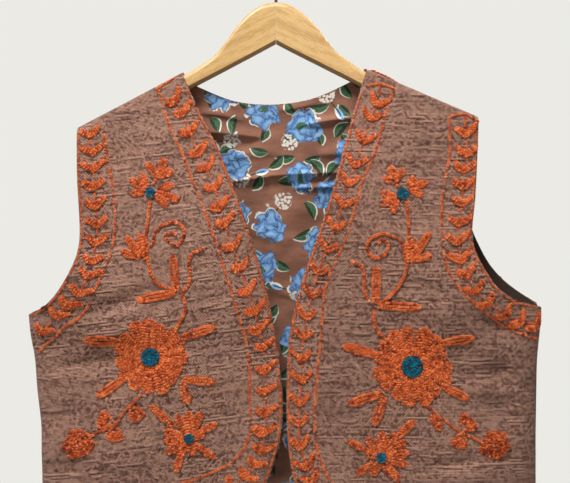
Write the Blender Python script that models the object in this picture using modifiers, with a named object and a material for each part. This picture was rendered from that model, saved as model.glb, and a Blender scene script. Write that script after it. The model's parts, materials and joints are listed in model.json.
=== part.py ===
"""Embroidered waistcoat on a wooden hanger: two fronts, a back with its printed lining, two arms and a hook.

Run it with: blender --background --python part.py
The scene is in metres, +Z up. The origin is the hook's seat, the inner top of the bend, which rests on a
rail. +X is to the viewer's right, which is the wearer's left, and the fronts face -Y.

Each panel of cloth is a flat pattern piece between four edges. drape() hangs its points over the hanger's
arm at the top and turns them round the side fold, and Solidify gives the wall its thickness. The sizes
below are in millimetres, and the meshes are scaled to metres as they are made.
"""

import bisect
import math
from collections import namedtuple

import bmesh
import bpy
from mathutils import Vector

OBJECT = "embroidered_waistcoat_on_hanger"
MM = 0.001

# Walls and seams
FRONT_WALL = 2.0
BACK_WALL = 1.2
LINING_WALL = 1.0
SEAM_GAP = 0.3  # between two pieces that are sewn together
SHOULDER_GAP = 0.7  # wider outside, because the two walls lean together towards the inside of the bend
LINING_INSET = 1.0  # the lining ends this far inside the back's own edges

# The bend over the hanger's arm
BEND_RADIUS = 9.7  # to the outside of the cloth
SEAM_ANGLE = math.radians(45)  # the shoulder seam lies this far in front of the ridge
ARM_REACH = 207.0  # from the centre to the shoulder tip
ARM_FORWARD = 27.0  # the contoured arm comes this far forward there
ARM_CURVE = 1.4  # the power that shapes the way forward
SLOPE_BLEND = 120.0  # one arm's slope turns into the other's over this width

# The hollow body below it
FRONT_DEPTH = -38.0
BACK_DEPTH = 14.0
SIDE_DEPTH = -12.0  # the side seams
DRAPE_FALL = 180.0  # the cloth reaches its full depth this far below the arm
FOLD_START = 190.0  # from the centre to where the cloth starts to turn round to the side seam
FLAT_EDGE = 270.0  # from the centre to the side seam, on the flat cloth
SEAM_STRIP = 2.0  # the last of that turn is straight, so that the two walls meet square
STRIP_SHARE = 0.06  # of the turn
FOLD_END = 1.5  # a fold fades out past its ends over this many of its widths

# The hanger
WOOD_THICKNESS = 11.6
WOOD_EDGE = 3.0  # radius of its lower edges
WIRE_RADIUS = 1.7
HOOK_RADIUS = 19.0  # inside the bend
HOOK_START = math.radians(30)  # the bend's two ends, counted from straight down by way of +X
HOOK_END = math.radians(295)
HOOK_STEPS = 22
HOOK_SHANK = ((0.0, -50.0), (1.5, -44.5), (6.5, -38.1))  # up from the wood to where the bend starts
WOOD_TOP = -58.1
SHARP_EDGE = math.radians(40)

Point = namedtuple("Point", "x z")
Side = namedtuple("Side", "sign neck tip armhole side")
Front = namedtuple("Front", "side centre_edge hem")
Fold = namedtuple("Fold", "x0 z0 x1 z1 width rise")
Section = namedtuple("Section", "x top bottom")

# Edges as seen from the front. The two halves of the garment hang a little differently.
WEARERS_RIGHT = Side(
    sign=-1,
    neck=Point(-99.8, -138.7),
    tip=Point(-207.4, -200.1),
    armhole=[
        Point(-207, -253),
        Point(-205, -287),
        Point(-204, -312),
        Point(-206, -330),
        Point(-214, -350),
        Point(-225, -369),
        Point(-240, -385),
    ],
    side=[Point(-264, -399), Point(-257, -459), Point(-251, -525), Point(-248, -634)],
)
WEARERS_LEFT = Side(
    sign=1,
    neck=Point(97.0, -134.9),
    tip=Point(211.7, -188.6),
    armhole=[
        Point(210, -235),
        Point(208, -276),
        Point(205, -319),
        Point(212, -336),
        Point(220, -351),
        Point(230, -366),
        Point(242, -376),
        Point(259, -382),
    ],
    side=[Point(284, -390), Point(279, -455), Point(278, -533), Point(278, -634)],
)
FRONT_RIGHT = Front(
    side=WEARERS_RIGHT,
    centre_edge=[
        Point(-78, -186),
        Point(-62, -216),
        Point(-47, -252),
        Point(-24, -318),
        Point(-7, -379),
        Point(3.5, -441),
        Point(7.7, -498),
        Point(4, -525),
        Point(-9, -569),
        Point(-18, -583),
        Point(-32, -592),
    ],
    hem=[Point(-73, -603), Point(-150, -616)],
)
FRONT_LEFT = Front(
    side=WEARERS_LEFT,
    centre_edge=[
        Point(82, -182),
        Point(72, -218),
        Point(58, -269),
        Point(42, -316),
        Point(23, -373),
        Point(14, -417),
        Point(11.3, -470),
        Point(12.6, -526),
        Point(19, -569),
        Point(25, -590),
        Point(37, -606),
    ],
    hem=[Point(62, -620), Point(93, -626)],
)
BACK_NECK = [
    Point(-99, -130),  # on the bend, a point's z runs on round the cloth
    Point(-96, -143),
    Point(-82, -151),
    Point(-68, -157),
    Point(-54, -163),
    Point(-38, -166),
    Point(-16, -168),
    Point(10, -167),
    Point(31, -164),
    Point(50, -159),
    Point(71, -149),
    Point(82, -143),
    Point(93, -138),
    Point(96, -127),
]
BACK_ARMHOLE_RIGHT = [
    Point(-203, -253),
    Point(-200, -300),
    Point(-203, -330),
    Point(-212, -353),
    Point(-224, -372),
    Point(-240, -387),
]
BACK_ARMHOLE_LEFT = [
    Point(206, -235),
    Point(206, -280),
    Point(215, -310),
    Point(225, -328),
    Point(235, -346),
    Point(248, -360),
    Point(261, -371),
]
BACK_HEM = [Point(-120, -637), Point(140, -637)]

# Soft ridges (+) and troughs (-) in the cloth, each along a line
FRONT_FOLDS = [
    Fold(x0=-245, z0=-450, x1=-90, z1=-385, width=16, rise=3.0),
    Fold(x0=-235, z0=-500, x1=-120, z1=-432, width=14, rise=-2.0),
    Fold(x0=-190, z0=-270, x1=-175, z1=-340, width=22, rise=-2.5),
    Fold(x0=-150, z0=-560, x1=-158, z1=-640, width=24, rise=3.0),
    Fold(x0=-95, z0=-230, x1=-40, z1=-380, width=20, rise=1.5),
    Fold(x0=265, z0=-414, x1=125, z1=-380, width=16, rise=3.0),
    Fold(x0=260, z0=-472, x1=150, z1=-424, width=14, rise=-2.0),
    Fold(x0=192, z0=-260, x1=182, z1=-330, width=22, rise=-2.5),
    Fold(x0=175, z0=-540, x1=186, z1=-640, width=24, rise=3.0),
    Fold(x0=104, z0=-560, x1=98, z1=-640, width=18, rise=-2.0),
]
BACK_FOLDS = [
    Fold(x0=-150, z0=-236, x1=150, z1=-232, width=18, rise=-2.5),
    Fold(x0=-62, z0=-260, x1=-72, z1=-640, width=28, rise=4.0),
    Fold(x0=78, z0=-270, x1=86, z1=-640, width=28, rise=4.0),
    Fold(x0=-240, z0=-446, x1=-120, z1=-380, width=16, rise=3.0),
    Fold(x0=256, z0=-430, x1=130, z1=-376, width=16, rise=3.0),
    Fold(x0=6, z0=-480, x1=4, z1=-640, width=30, rise=-3.0),
]

# The hanger's arms from the centre to where the cloth covers them. From there on, the top follows the bend.
ARM_RIGHT_SECTIONS = [
    Section(x=-0.2, top=-58.1, bottom=-103.1),
    Section(x=-12, top=-60.0, bottom=-109.6),
    Section(x=-24, top=-66.5, bottom=-116.3),
    Section(x=-34, top=-75.5, bottom=-121.8),
    Section(x=-44, top=-87.7, bottom=-127.3),
    Section(x=-54, top=-102.3, bottom=-132.9),
    Section(x=-64, top=-115.2, bottom=-138.4),
    Section(x=-78, top=-126.2, bottom=-146.1),
]
ARM_LEFT_SECTIONS = [
    Section(x=0.2, top=-58.1, bottom=-103.1),
    Section(x=12, top=-60.0, bottom=-109.5),
    Section(x=25, top=-67.2, bottom=-116.3),
    Section(x=36, top=-76.6, bottom=-122.1),
    Section(x=46, top=-87.4, bottom=-127.3),
    Section(x=56, top=-101.8, bottom=-132.6),
    Section(x=66, top=-113.7, bottom=-137.9),
    Section(x=78, top=-122.9, bottom=-144.2),
]
ARM_COVERED_FROM = 92.0
ARM_COVERED_STEP = 14.0
ARM_END = 196.0
ARM_DEPTH_INNER = 18.5  # height of the board where the cloth starts to cover it
ARM_DEPTH_OUTER = 14.0  # and near its end
ARM_SHOWN_STEPS = 20  # sections in the stretch that shows
ARM_TOP_STEPS = 6  # in the half circle of its top edge
ARM_TIP = ((2.5, 0.9), (4.5, 0.6))  # its rounded end: how far past ARM_END, and the share of its size there

# Mesh density: stretches of a panel's width or height, each as (where it ends, in how many even steps).
# Columns run from the centre edge, or on the back from the side, and rows from the shoulder.
BACK_NECK_SHARE = 0.315  # of the back's width, from either side to the neck point
UNDERARM_SHARE = 0.46  # of a panel's height, from the shoulder tip
FRONT_COLUMNS = ((0.70, 11), (1 - 0.30 * STRIP_SHARE, 5), (1.0, 1))
FRONT_ROWS = ((0.003, 1), (0.02, 2), (1.0, 33))
BACK_HALF_COLUMNS = (
    (0.15 * STRIP_SHARE, 1),
    (0.15, 5),
    (BACK_NECK_SHARE, 4),
    (BACK_NECK_SHARE + 0.042, 6),
    (0.5, 4),
)
BACK_ROWS = ((0.003, 1), (0.05, 5), (1.0, 25))
CURVE_STEPS = 12  # between two points of a smooth curve

COLOURS = {
    "cloth": ((0.262, 0.150, 0.115), 0.95, 0.0),
    "lining": ((0.220, 0.110, 0.070), 0.85, 0.0),
    "wood": ((0.600, 0.340, 0.130), 0.45, 0.0),
    "steel": ((0.600, 0.600, 0.620), 0.30, 1.0),
}


def ease(share):
    """0 to 1 with a level start and end."""
    share = min(max(share, 0.0), 1.0)
    return share * share * (3 - 2 * share)


def mix(first, second, share):
    return first + (second - first) * share


def smooth_curve(rows):
    """A smooth curve through the rows, as a function of the share of its length."""
    knots = [Vector(row) for row in rows]
    spans = [(b - a).length for a, b in zip(knots, knots[1:])]
    chords = [(b - a) / span for a, b, span in zip(knots, knots[1:], spans)]
    inner = [(a + b) / 2 for a, b in zip(chords, chords[1:])]
    slopes = [chords[0]] + inner + [chords[-1]]
    samples = [knots[0]]
    for i, span in enumerate(spans):
        for step in range(1, CURVE_STEPS + 1):
            t = step / CURVE_STEPS
            samples.append(
                knots[i] * (2 * t**3 - 3 * t**2 + 1)
                + slopes[i] * span * (t**3 - 2 * t**2 + t)
                + knots[i + 1] * (3 * t**2 - 2 * t**3)
                + slopes[i + 1] * span * (t**3 - t**2)
            )
    lengths = [0.0]
    for a, b in zip(samples, samples[1:]):
        lengths.append(lengths[-1] + (b - a).length)

    def at(share):
        wanted = min(max(share, 0.0), 1.0) * lengths[-1]
        i = min(bisect.bisect_right(lengths, wanted), len(lengths) - 1)
        return samples[i - 1].lerp(samples[i], (wanted - lengths[i - 1]) / (lengths[i] - lengths[i - 1]))

    return at


def joined(*curves_with_ends):
    """Curves one after another. Each comes with the share of the whole at which it ends."""

    def at(share):
        start = 0.0
        for curve, end in curves_with_ends:
            if share <= end:
                return curve((share - start) / (end - start))
            start = end
        return curve(1.0)

    return at


def patch(top, bottom, start, end):
    """The Coons patch between four edges: top and bottom run across, start and end run down."""
    corners = start(0), end(0), start(1), end(1)

    def at(u, v):
        across = top(u).lerp(bottom(u), v)
        down = start(v).lerp(end(v), u)
        return across + down - corners[0].lerp(corners[1], u).lerp(corners[2].lerp(corners[3], u), v)

    return at


def arm_y(x):
    """The middle of the hanger's arm, seen from above."""
    return -ARM_FORWARD * (abs(x) / ARM_REACH) ** ARM_CURVE


def arm_z(x):
    """The axis that the cloth bends over, under the shoulder seams."""

    def line(side):
        slope = (side.tip.z - side.neck.z) / (side.tip.x - side.neck.x)
        return side.neck.z + slope * (x - side.neck.x)

    seam = mix(line(WEARERS_RIGHT), line(WEARERS_LEFT), ease(0.5 + x / SLOPE_BLEND))
    return seam - BEND_RADIUS * math.cos(SEAM_ANGLE)


def seam_width(side, z):
    """How far the cloth turns out to the side seam at this height, and above the underarm to its place."""
    rows = side.side
    z = min(max(z, rows[-1].z), rows[0].z)
    for upper, lower in zip(rows, rows[1:]):
        if z >= lower.z:
            x = mix(upper.x, lower.x, ease((z - upper.z) / (lower.z - upper.z)))
            return abs(x) - FOLD_START


def unfolded(side, point):
    """A point as seen from the front, moved out to its place on the flat cloth beside the side fold."""
    reach = abs(point.x) - FOLD_START
    if reach <= 0:
        return Vector(point)
    turn = math.asin(reach / seam_width(side, point.z)) / (math.pi / 2)
    flat_x = mix(FOLD_START, FLAT_EDGE, turn * (1 - STRIP_SHARE))
    return Vector((side.sign * flat_x, point.z))


def fold_rise(folds, x, z):
    """How far the folds lift the cloth here."""
    total = 0.0
    for fold in folds:
        along = Vector((fold.x1 - fold.x0, fold.z1 - fold.z0))
        offset = Vector((x - fold.x0, z - fold.z0))
        place = offset.dot(along) / along.length_squared
        aside = (offset - along * place).length
        past = max(-place, place - 1.0, 0.0) * along.length
        total += fold.rise * math.exp(-((aside / fold.width) ** 2) - (past / (FOLD_END * fold.width)) ** 2)
    return total


def drape(flat, facing):
    """The place in space of a point of the flat cloth. facing is -1 on the fronts and +1 on the back."""
    side = WEARERS_LEFT if flat.x > 0 else WEARERS_RIGHT
    full_depth, folds = (FRONT_DEPTH, FRONT_FOLDS) if facing < 0 else (BACK_DEPTH, BACK_FOLDS)
    turn = max((abs(flat.x) - FOLD_START) / (FLAT_EDGE - FOLD_START), 0.0)
    angle = min(turn / (1 - STRIP_SHARE), 1.0) * math.pi / 2
    x = flat.x if turn == 0 else side.sign * (FOLD_START + seam_width(side, flat.y) * math.sin(angle))

    bend = max((flat.y - arm_z(x)) / BEND_RADIUS, 0.0)
    z = flat.y if bend == 0 else arm_z(x) + BEND_RADIUS * math.sin(bend)
    drop = max(arm_z(x) - flat.y, 0.0)
    hanging = ease(drop / DRAPE_FALL)
    depth = mix(arm_y(x) + facing * BEND_RADIUS * math.cos(bend), full_depth, hanging)
    depth += facing * hanging * fold_rise(folds, x, z)

    seam = SIDE_DEPTH + facing * (SEAM_STRIP + SEAM_GAP / 2)
    depth = mix(depth, seam, 1 - math.cos(angle))
    strip = max(turn - (1 - STRIP_SHARE), 0.0) / STRIP_SHARE
    return Vector((x, depth - facing * SEAM_STRIP * strip, z))


def shoulder_seam(side, facing):
    """The shoulder seam on the flat cloth, as a function of the share of the way from the neck to the tip."""
    bend = math.pi / 2 + facing * SEAM_ANGLE
    above_axis = BEND_RADIUS * bend - SHOULDER_GAP / 2

    def at(share):
        x = mix(side.neck.x, side.tip.x, share)
        return Vector((unfolded(side, Point(x, side.tip.z)).x, arm_z(x) + above_axis))

    return at


def armhole_and_side(side, rows, tip):
    """A panel's outer edge, from the shoulder tip round the armhole and down the side seam, and its end."""
    underarm = Vector((side.sign * FLAT_EDGE, side.side[0].z))
    hem_end = Vector((side.sign * FLAT_EDGE, side.side[-1].z))
    armhole = smooth_curve([tip] + [unfolded(side, row) for row in rows] + [underarm])
    return joined((armhole, UNDERARM_SHARE), (smooth_curve([underarm, hem_end]), 1.0)), hem_end


def front_patch(front):
    side = front.side
    shoulder = shoulder_seam(side, -1)
    corner = front.centre_edge[-1]
    outer_edge, hem_end = armhole_and_side(side, side.armhole, shoulder(1))
    return patch(
        top=shoulder,
        bottom=smooth_curve([corner] + front.hem + [hem_end]),
        start=smooth_curve([shoulder(0)] + front.centre_edge),
        end=outer_edge,
    )


def back_patch():
    right, left = WEARERS_RIGHT, WEARERS_LEFT
    right_shoulder = shoulder_seam(right, 1)
    left_shoulder = shoulder_seam(left, 1)
    neck = smooth_curve([right_shoulder(0)] + BACK_NECK + [left_shoulder(0)])
    top = joined(
        (lambda share: right_shoulder(1 - share), BACK_NECK_SHARE),
        (neck, 1 - BACK_NECK_SHARE),
        (left_shoulder, 1.0),
    )
    right_edge, right_end = armhole_and_side(right, BACK_ARMHOLE_RIGHT, right_shoulder(1))
    left_edge, left_end = armhole_and_side(left, BACK_ARMHOLE_LEFT, left_shoulder(1))
    return patch(
        top=top,
        bottom=smooth_curve([right_end] + BACK_HEM + [left_end]),
        start=right_edge,
        end=left_edge,
    )


def stepped(*stretches):
    """Shares from 0 on. Each stretch is (where it ends, in how many even steps)."""
    shares = [0.0]
    for end, count in stretches:
        start = shares[-1]
        shares += [mix(start, end, (i + 1) / count) for i in range(count)]
    return shares


def new_object(name, mesh_or_curve, colour):
    obj = bpy.data.objects.new(name, mesh_or_curve)
    bpy.data.collections[OBJECT].objects.link(obj)
    obj.data.materials.append(bpy.data.materials[colour])
    return obj


def cloth_grid(at, columns, rows, facing):
    """An open sheet, with its faces turned outwards, in millimetres."""
    bm = bmesh.new()
    bmesh.ops.create_grid(bm, x_segments=len(columns) - 1, y_segments=len(rows) - 1, size=0.5)
    for vertex in bm.verts:
        i = round((vertex.co.x + 0.5) * (len(columns) - 1))
        j = round((0.5 - vertex.co.y) * (len(rows) - 1))
        vertex.co = drape(at(columns[i], rows[j]), facing)
    bm.normal_update()
    towards = sum((face.normal * face.calc_area() for face in bm.faces), Vector())
    if towards.y * facing < 0:
        bmesh.ops.reverse_faces(bm, faces=bm.faces)
    bm.normal_update()
    return bm


def wall(name, bm, thickness, colour):
    """A sheet made into a closed wall, which grows inwards."""
    bmesh.ops.scale(bm, vec=(MM, MM, MM), verts=bm.verts)
    mesh = bpy.data.meshes.new(name)
    bm.to_mesh(mesh)
    bm.free()
    mesh.shade_smooth()
    obj = new_object(name, mesh, colour)
    solidify = obj.modifiers.new("wall", "SOLIDIFY")
    solidify.thickness = thickness * MM
    solidify.offset = -1
    return obj


def make_front(name, front):
    sheet = cloth_grid(front_patch(front), stepped(*FRONT_COLUMNS), stepped(*FRONT_ROWS), -1)
    wall(name, sheet, FRONT_WALL, "cloth")


def back_grid():
    half = stepped(*BACK_HALF_COLUMNS)
    columns = half + [1 - share for share in reversed(half[:-1])]
    return cloth_grid(back_patch(), columns, stepped(*BACK_ROWS), 1)


def make_lining():
    """The back's own sheet, moved inside it, with its border drawn in along the sheet."""
    bm = back_grid()
    moves = {}
    for vertex in bm.verts:
        if not vertex.is_boundary:
            continue
        inward = [edge.other_vert(vertex) for edge in vertex.link_edges if not edge.is_boundary]
        if len(inward) == 1:
            moves[vertex] = (inward[0].co - vertex.co).normalized() * LINING_INSET
    corners = [v for v in bm.verts if v.is_boundary and v not in moves]
    for vertex in corners:
        beside = [edge.other_vert(vertex) for edge in vertex.link_edges]
        moves[vertex] = sum((moves[other] for other in beside), Vector())
    normals = {vertex: vertex.normal.copy() for vertex in bm.verts}
    for vertex in bm.verts:
        vertex.co += moves.get(vertex, Vector()) - normals[vertex] * (BACK_WALL + SEAM_GAP)
    wall("back_lining", bm, LINING_WALL, "lining")


def arm_ring(section, height_share=1.0):
    """The board's outline across its length: a round top edge, flat faces and small lower edges."""
    radius = WOOD_THICKNESS / 2
    middle = (section.top + section.bottom) / 2
    ring = []
    for turn in range(ARM_TOP_STEPS + 1):
        angle = math.pi * turn / ARM_TOP_STEPS
        ring.append((radius * math.cos(angle), section.top - radius + radius * math.sin(angle)))
    ring.append((-radius, section.bottom + WOOD_EDGE))
    ring.append((-radius + WOOD_EDGE, section.bottom))
    ring.append((radius - WOOD_EDGE, section.bottom))
    ring.append((radius, section.bottom + WOOD_EDGE))
    return [
        Vector((section.x, arm_y(section.x) + y * height_share, middle + (z - middle) * height_share))
        for y, z in ring
    ]


def arm_sections(sign, shown):
    """The sections that show, on a smooth curve, then those under the cloth, whose top lies in the bend."""
    covered = []
    count = math.ceil((ARM_END - ARM_COVERED_FROM) / ARM_COVERED_STEP)
    for i in range(count + 1):
        x = sign * mix(ARM_COVERED_FROM, ARM_END, i / count)
        top = arm_z(x) + WOOD_THICKNESS / 2
        covered.append(Section(x, top, top - mix(ARM_DEPTH_INNER, ARM_DEPTH_OUTER, i / count)))
    curve = smooth_curve([*shown, covered[0]])
    return [Section(*curve(i / ARM_SHOWN_STEPS)) for i in range(ARM_SHOWN_STEPS)] + covered


def make_arm(name, sign, shown):
    sections = arm_sections(sign, shown)
    rings = [arm_ring(section) for section in sections]
    last = sections[-1]
    for past, share in ARM_TIP:
        x = last.x + sign * past
        drop = arm_z(x) - arm_z(last.x)
        rings.append(arm_ring(Section(x, last.top + drop, last.bottom + drop), share))
    bm = bmesh.new()
    loops = [[bm.verts.new(point * MM) for point in ring] for ring in rings]
    for a, b in zip(loops, loops[1:]):
        for i, corner in enumerate(a):
            j = (i + 1) % len(a)
            bm.faces.new((corner, a[j], b[j], b[i]))
    bm.faces.new(loops[0])
    bm.faces.new(loops[-1])
    bmesh.ops.recalc_face_normals(bm, faces=bm.faces)
    mesh = bpy.data.meshes.new(name)
    bm.to_mesh(mesh)
    bm.free()
    mesh.shade_smooth()
    mesh.set_sharp_from_angle(angle=SHARP_EDGE)
    new_object(name, mesh, "wood")


def hook_points():
    """The wire's middle: up the shank, out to the side and round the bend."""
    radius = HOOK_RADIUS + WIRE_RADIUS
    centre = -HOOK_RADIUS
    points = [(0.0, WOOD_TOP + SEAM_GAP), *HOOK_SHANK]
    for i in range(HOOK_STEPS + 1):
        angle = mix(HOOK_START, HOOK_END, i / HOOK_STEPS)
        points.append((radius * math.sin(angle), centre - radius * math.cos(angle)))
    return points


def make_hook():
    curve = bpy.data.curves.new("hook", "CURVE")
    curve.dimensions = "3D"
    curve.bevel_depth = WIRE_RADIUS * MM
    curve.bevel_resolution = 2
    curve.use_fill_caps = True
    points = hook_points()
    spline = curve.splines.new("POLY")
    spline.points.add(len(points) - 1)
    for point, (x, z) in zip(spline.points, points):
        point.co = (x * MM, 0.0, z * MM, 1.0)
    new_object("hook", curve, "steel")


def make_materials():
    for name, (colour, roughness, metallic) in COLOURS.items():
        material = bpy.data.materials.new(name)
        material.use_nodes = True
        shader = material.node_tree.nodes["Principled BSDF"]
        shader.inputs["Base Color"].default_value = (*colour, 1.0)
        shader.inputs["Roughness"].default_value = roughness
        shader.inputs["Metallic"].default_value = metallic


def main():
    for obj in list(bpy.data.objects):
        bpy.data.objects.remove(obj)
    bpy.context.scene.collection.children.link(bpy.data.collections.new(OBJECT))
    make_materials()
    make_front("front_right", FRONT_RIGHT)
    make_front("front_left", FRONT_LEFT)
    wall("back", back_grid(), BACK_WALL, "cloth")
    make_lining()
    make_arm("hanger_arm_right", -1, ARM_RIGHT_SECTIONS)
    make_arm("hanger_arm_left", 1, ARM_LEFT_SECTIONS)
    make_hook()


main()
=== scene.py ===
# %% [markdown]
# # Embroidered waistcoat on a wooden hanger
# The solid model gives every wall its place. This script dresses it: each wall becomes a finer sheet of
# slub cotton with soft creases, the wool embroidery is laid on it link by link, and the hanger gets its wood.

# %% Load the solid model
import json
import math
import random
from collections import namedtuple

import bmesh
import bpy
from mathutils import Matrix, Vector
from mathutils.bvhtree import BVHTree

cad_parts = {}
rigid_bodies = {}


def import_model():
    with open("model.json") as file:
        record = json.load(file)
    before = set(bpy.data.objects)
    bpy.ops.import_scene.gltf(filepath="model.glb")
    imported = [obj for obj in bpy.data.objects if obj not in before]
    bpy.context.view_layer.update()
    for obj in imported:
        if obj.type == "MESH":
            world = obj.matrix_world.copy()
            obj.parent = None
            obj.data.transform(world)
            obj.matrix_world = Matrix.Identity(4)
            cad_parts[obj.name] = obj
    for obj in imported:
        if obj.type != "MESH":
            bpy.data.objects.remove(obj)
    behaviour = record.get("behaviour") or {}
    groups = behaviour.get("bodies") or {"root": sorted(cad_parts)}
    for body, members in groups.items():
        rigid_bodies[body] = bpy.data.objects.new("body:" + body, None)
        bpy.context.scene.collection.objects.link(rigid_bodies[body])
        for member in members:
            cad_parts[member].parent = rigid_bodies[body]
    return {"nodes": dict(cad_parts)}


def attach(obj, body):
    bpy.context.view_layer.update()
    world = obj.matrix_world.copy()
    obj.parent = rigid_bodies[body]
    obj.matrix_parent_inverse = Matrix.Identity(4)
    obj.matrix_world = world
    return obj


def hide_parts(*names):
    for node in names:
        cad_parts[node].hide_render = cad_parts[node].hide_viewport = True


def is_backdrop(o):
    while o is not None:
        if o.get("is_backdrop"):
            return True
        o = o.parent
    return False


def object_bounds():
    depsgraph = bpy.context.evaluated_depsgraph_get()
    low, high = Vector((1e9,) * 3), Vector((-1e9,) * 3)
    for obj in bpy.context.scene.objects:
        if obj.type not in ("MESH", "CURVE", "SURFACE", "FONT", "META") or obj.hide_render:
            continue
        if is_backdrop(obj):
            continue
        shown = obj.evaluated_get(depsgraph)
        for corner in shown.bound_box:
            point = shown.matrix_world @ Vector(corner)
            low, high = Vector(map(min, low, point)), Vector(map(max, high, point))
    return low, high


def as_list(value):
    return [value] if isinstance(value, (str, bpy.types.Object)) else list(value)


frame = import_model()
MM = 0.001
METRE = 1000.0  # in millimetres, for patterns that are worked out in millimetres
BODY = "root"
cad_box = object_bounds()
print("solids:", sorted(frame["nodes"]))

# %% [markdown]
# ## Camera
# A garment is usually looked at straight on, at chest height, from about a long arm's length. The frame is
# little wider than the chest, so the hem and the top of the hook fall outside it.

# %% Camera
def add_object(name, data):
    """A new object in the scene, at the origin."""
    obj = bpy.data.objects.new(name, data)
    bpy.context.scene.collection.objects.link(obj)
    return obj


CHEST_Y = -38.0  # the depth of the fronts, where the frame's width is measured
EYE = Vector((9.8, -900.0, -317.8)) * MM
FRAME_WIDTH = 592.8 * MM
SENSOR = 36.0

camera_data = bpy.data.cameras.new("camera")
camera_data.sensor_fit = "HORIZONTAL"
camera_data.sensor_width = SENSOR
camera_data.lens = SENSOR * (CHEST_Y * MM - EYE.y) / FRAME_WIDTH
camera = add_object("camera", camera_data)
camera.location = EYE
camera.rotation_euler = (math.radians(90), 0, 0)
bpy.context.scene.camera = camera
print("lens: %.1f mm" % camera_data.lens)

# %% [markdown]
# ## Light and floor
# Wool and slub cotton only look rough if the light grazes them. So one soft lamp stands high above the
# chest, a weak one fills from the camera's side, and a third lights the back. The room's own light is dim,
# and the pale backdrop that the camera sees adds nothing to it, or it would wash every crease out.

# %% Lamps and backdrop
BACKDROP = (0.831, 0.823, 0.784)
ROOM_LIGHT = 0.24  # as a share of the backdrop's own brightness
LAMP_AIM = Vector((0.0, 0.0, -0.35))  # the middle of the chest


def add_lamp(name, place, size, power):
    lamp = bpy.data.lights.new(name, "AREA")
    lamp.size = size
    lamp.energy = power
    obj = add_object(name, lamp)
    obj.location = place
    obj.rotation_euler = (LAMP_AIM - Vector(place)).to_track_quat("-Z", "Y").to_euler()


add_lamp("key", (-0.35, -0.85, 1.30), 0.50, 50)
add_lamp("fill", (-0.5, -2.0, 0.1), 1.2, 6)
add_lamp("back_key", (0.4, 1.5, 1.1), 0.9, 42)

world = bpy.data.worlds.new("studio")
bpy.context.scene.world = world
world.use_nodes = True
sky = world.node_tree
backdrop = sky.nodes["Background"]
backdrop.inputs["Color"].default_value = (*BACKDROP, 1.0)
room = sky.nodes.new("ShaderNodeBackground")
room.inputs["Color"].default_value = (*BACKDROP, 1.0)
room.inputs["Strength"].default_value = ROOM_LIGHT
ray = sky.nodes.new("ShaderNodeLightPath")
either = sky.nodes.new("ShaderNodeMixShader")
sky.links.new(ray.outputs["Is Camera Ray"], either.inputs["Fac"])
sky.links.new(room.outputs["Background"], either.inputs[1])
sky.links.new(backdrop.outputs["Background"], either.inputs[2])
sky.links.new(either.outputs["Shader"], sky.nodes["World Output"].inputs["Surface"])
bpy.context.scene.view_settings.view_transform = "Standard"
print("lamps:", sum(obj.type == "LIGHT" for obj in bpy.data.objects))

# %% Floor
FLOOR_Z = -1.75
FLOOR_HALF = 3.4
FLOOR_COLOUR = (0.82, 0.81, 0.78, 1.0)


def mesh_of(bm, name):
    """A new mesh with all that the bmesh holds."""
    mesh = bpy.data.meshes.new(name)
    bm.to_mesh(mesh)
    bm.free()
    return mesh


floor_bm = bmesh.new()
bmesh.ops.create_grid(floor_bm, x_segments=1, y_segments=1, size=FLOOR_HALF)
bmesh.ops.translate(floor_bm, vec=(0, 0, FLOOR_Z), verts=floor_bm.verts)
floor = add_object("floor", mesh_of(floor_bm, "floor"))
floor_material = bpy.data.materials.new("floor")
floor_material.use_nodes = True
floor_shader = floor_material.node_tree.nodes["Principled BSDF"]
floor_shader.inputs["Base Color"].default_value = FLOOR_COLOUR
floor_shader.inputs["Roughness"].default_value = 0.9
floor.data.materials.append(floor_material)
floor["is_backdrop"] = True
print("floor at %.2f m" % FLOOR_Z)

# %% [markdown]
# ## Shader maths as Python
# A woven pattern is mostly arithmetic on two coordinates. Wrapping a socket in a small class lets each
# pattern be written as an expression, and every operator in it adds its own Math node.

# %% A number in a shader
class Value:
    """A socket that carries one number. Arithmetic on it adds Math nodes."""

    def __init__(self, finish, socket):
        self.finish = finish
        self.socket = socket

    def math(self, operation, *others):
        return self.finish.node("Math", *[self, *others], operation=operation)

    def __add__(self, other):
        return self.math("ADD", other)

    def __sub__(self, other):
        return self.math("SUBTRACT", other)

    def __rsub__(self, other):
        return self.finish.node("Math", other, self, operation="SUBTRACT")

    def __mul__(self, other):
        return self.math("MULTIPLY", other)

    def __truediv__(self, other):
        return self.math("DIVIDE", other)

    def __pow__(self, other):
        return self.math("POWER", other)

    __radd__ = __add__
    __rmul__ = __mul__

    def floor(self):
        return self.math("FLOOR")

    def fract(self):
        return self.math("FRACT")

    def sin(self):
        return self.math("SINE")

    def cos(self):
        return self.math("COSINE")

    def size(self):
        return self.math("ABSOLUTE")

    def high(self, other):
        return self.math("MAXIMUM", other)

    def step(self, start, end):
        """0 below start and 1 above end, or the other way round where end is the smaller."""
        low, high, first, last = (start, end, 0.0, 1.0) if start < end else (end, start, 1.0, 0.0)
        return self.finish.node("MapRange", self, low, high, first, last, interpolation_type="SMOOTHSTEP")


print("shader arithmetic ready")

# %% A material under construction
WEAVE_MAP = "weave"


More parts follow.
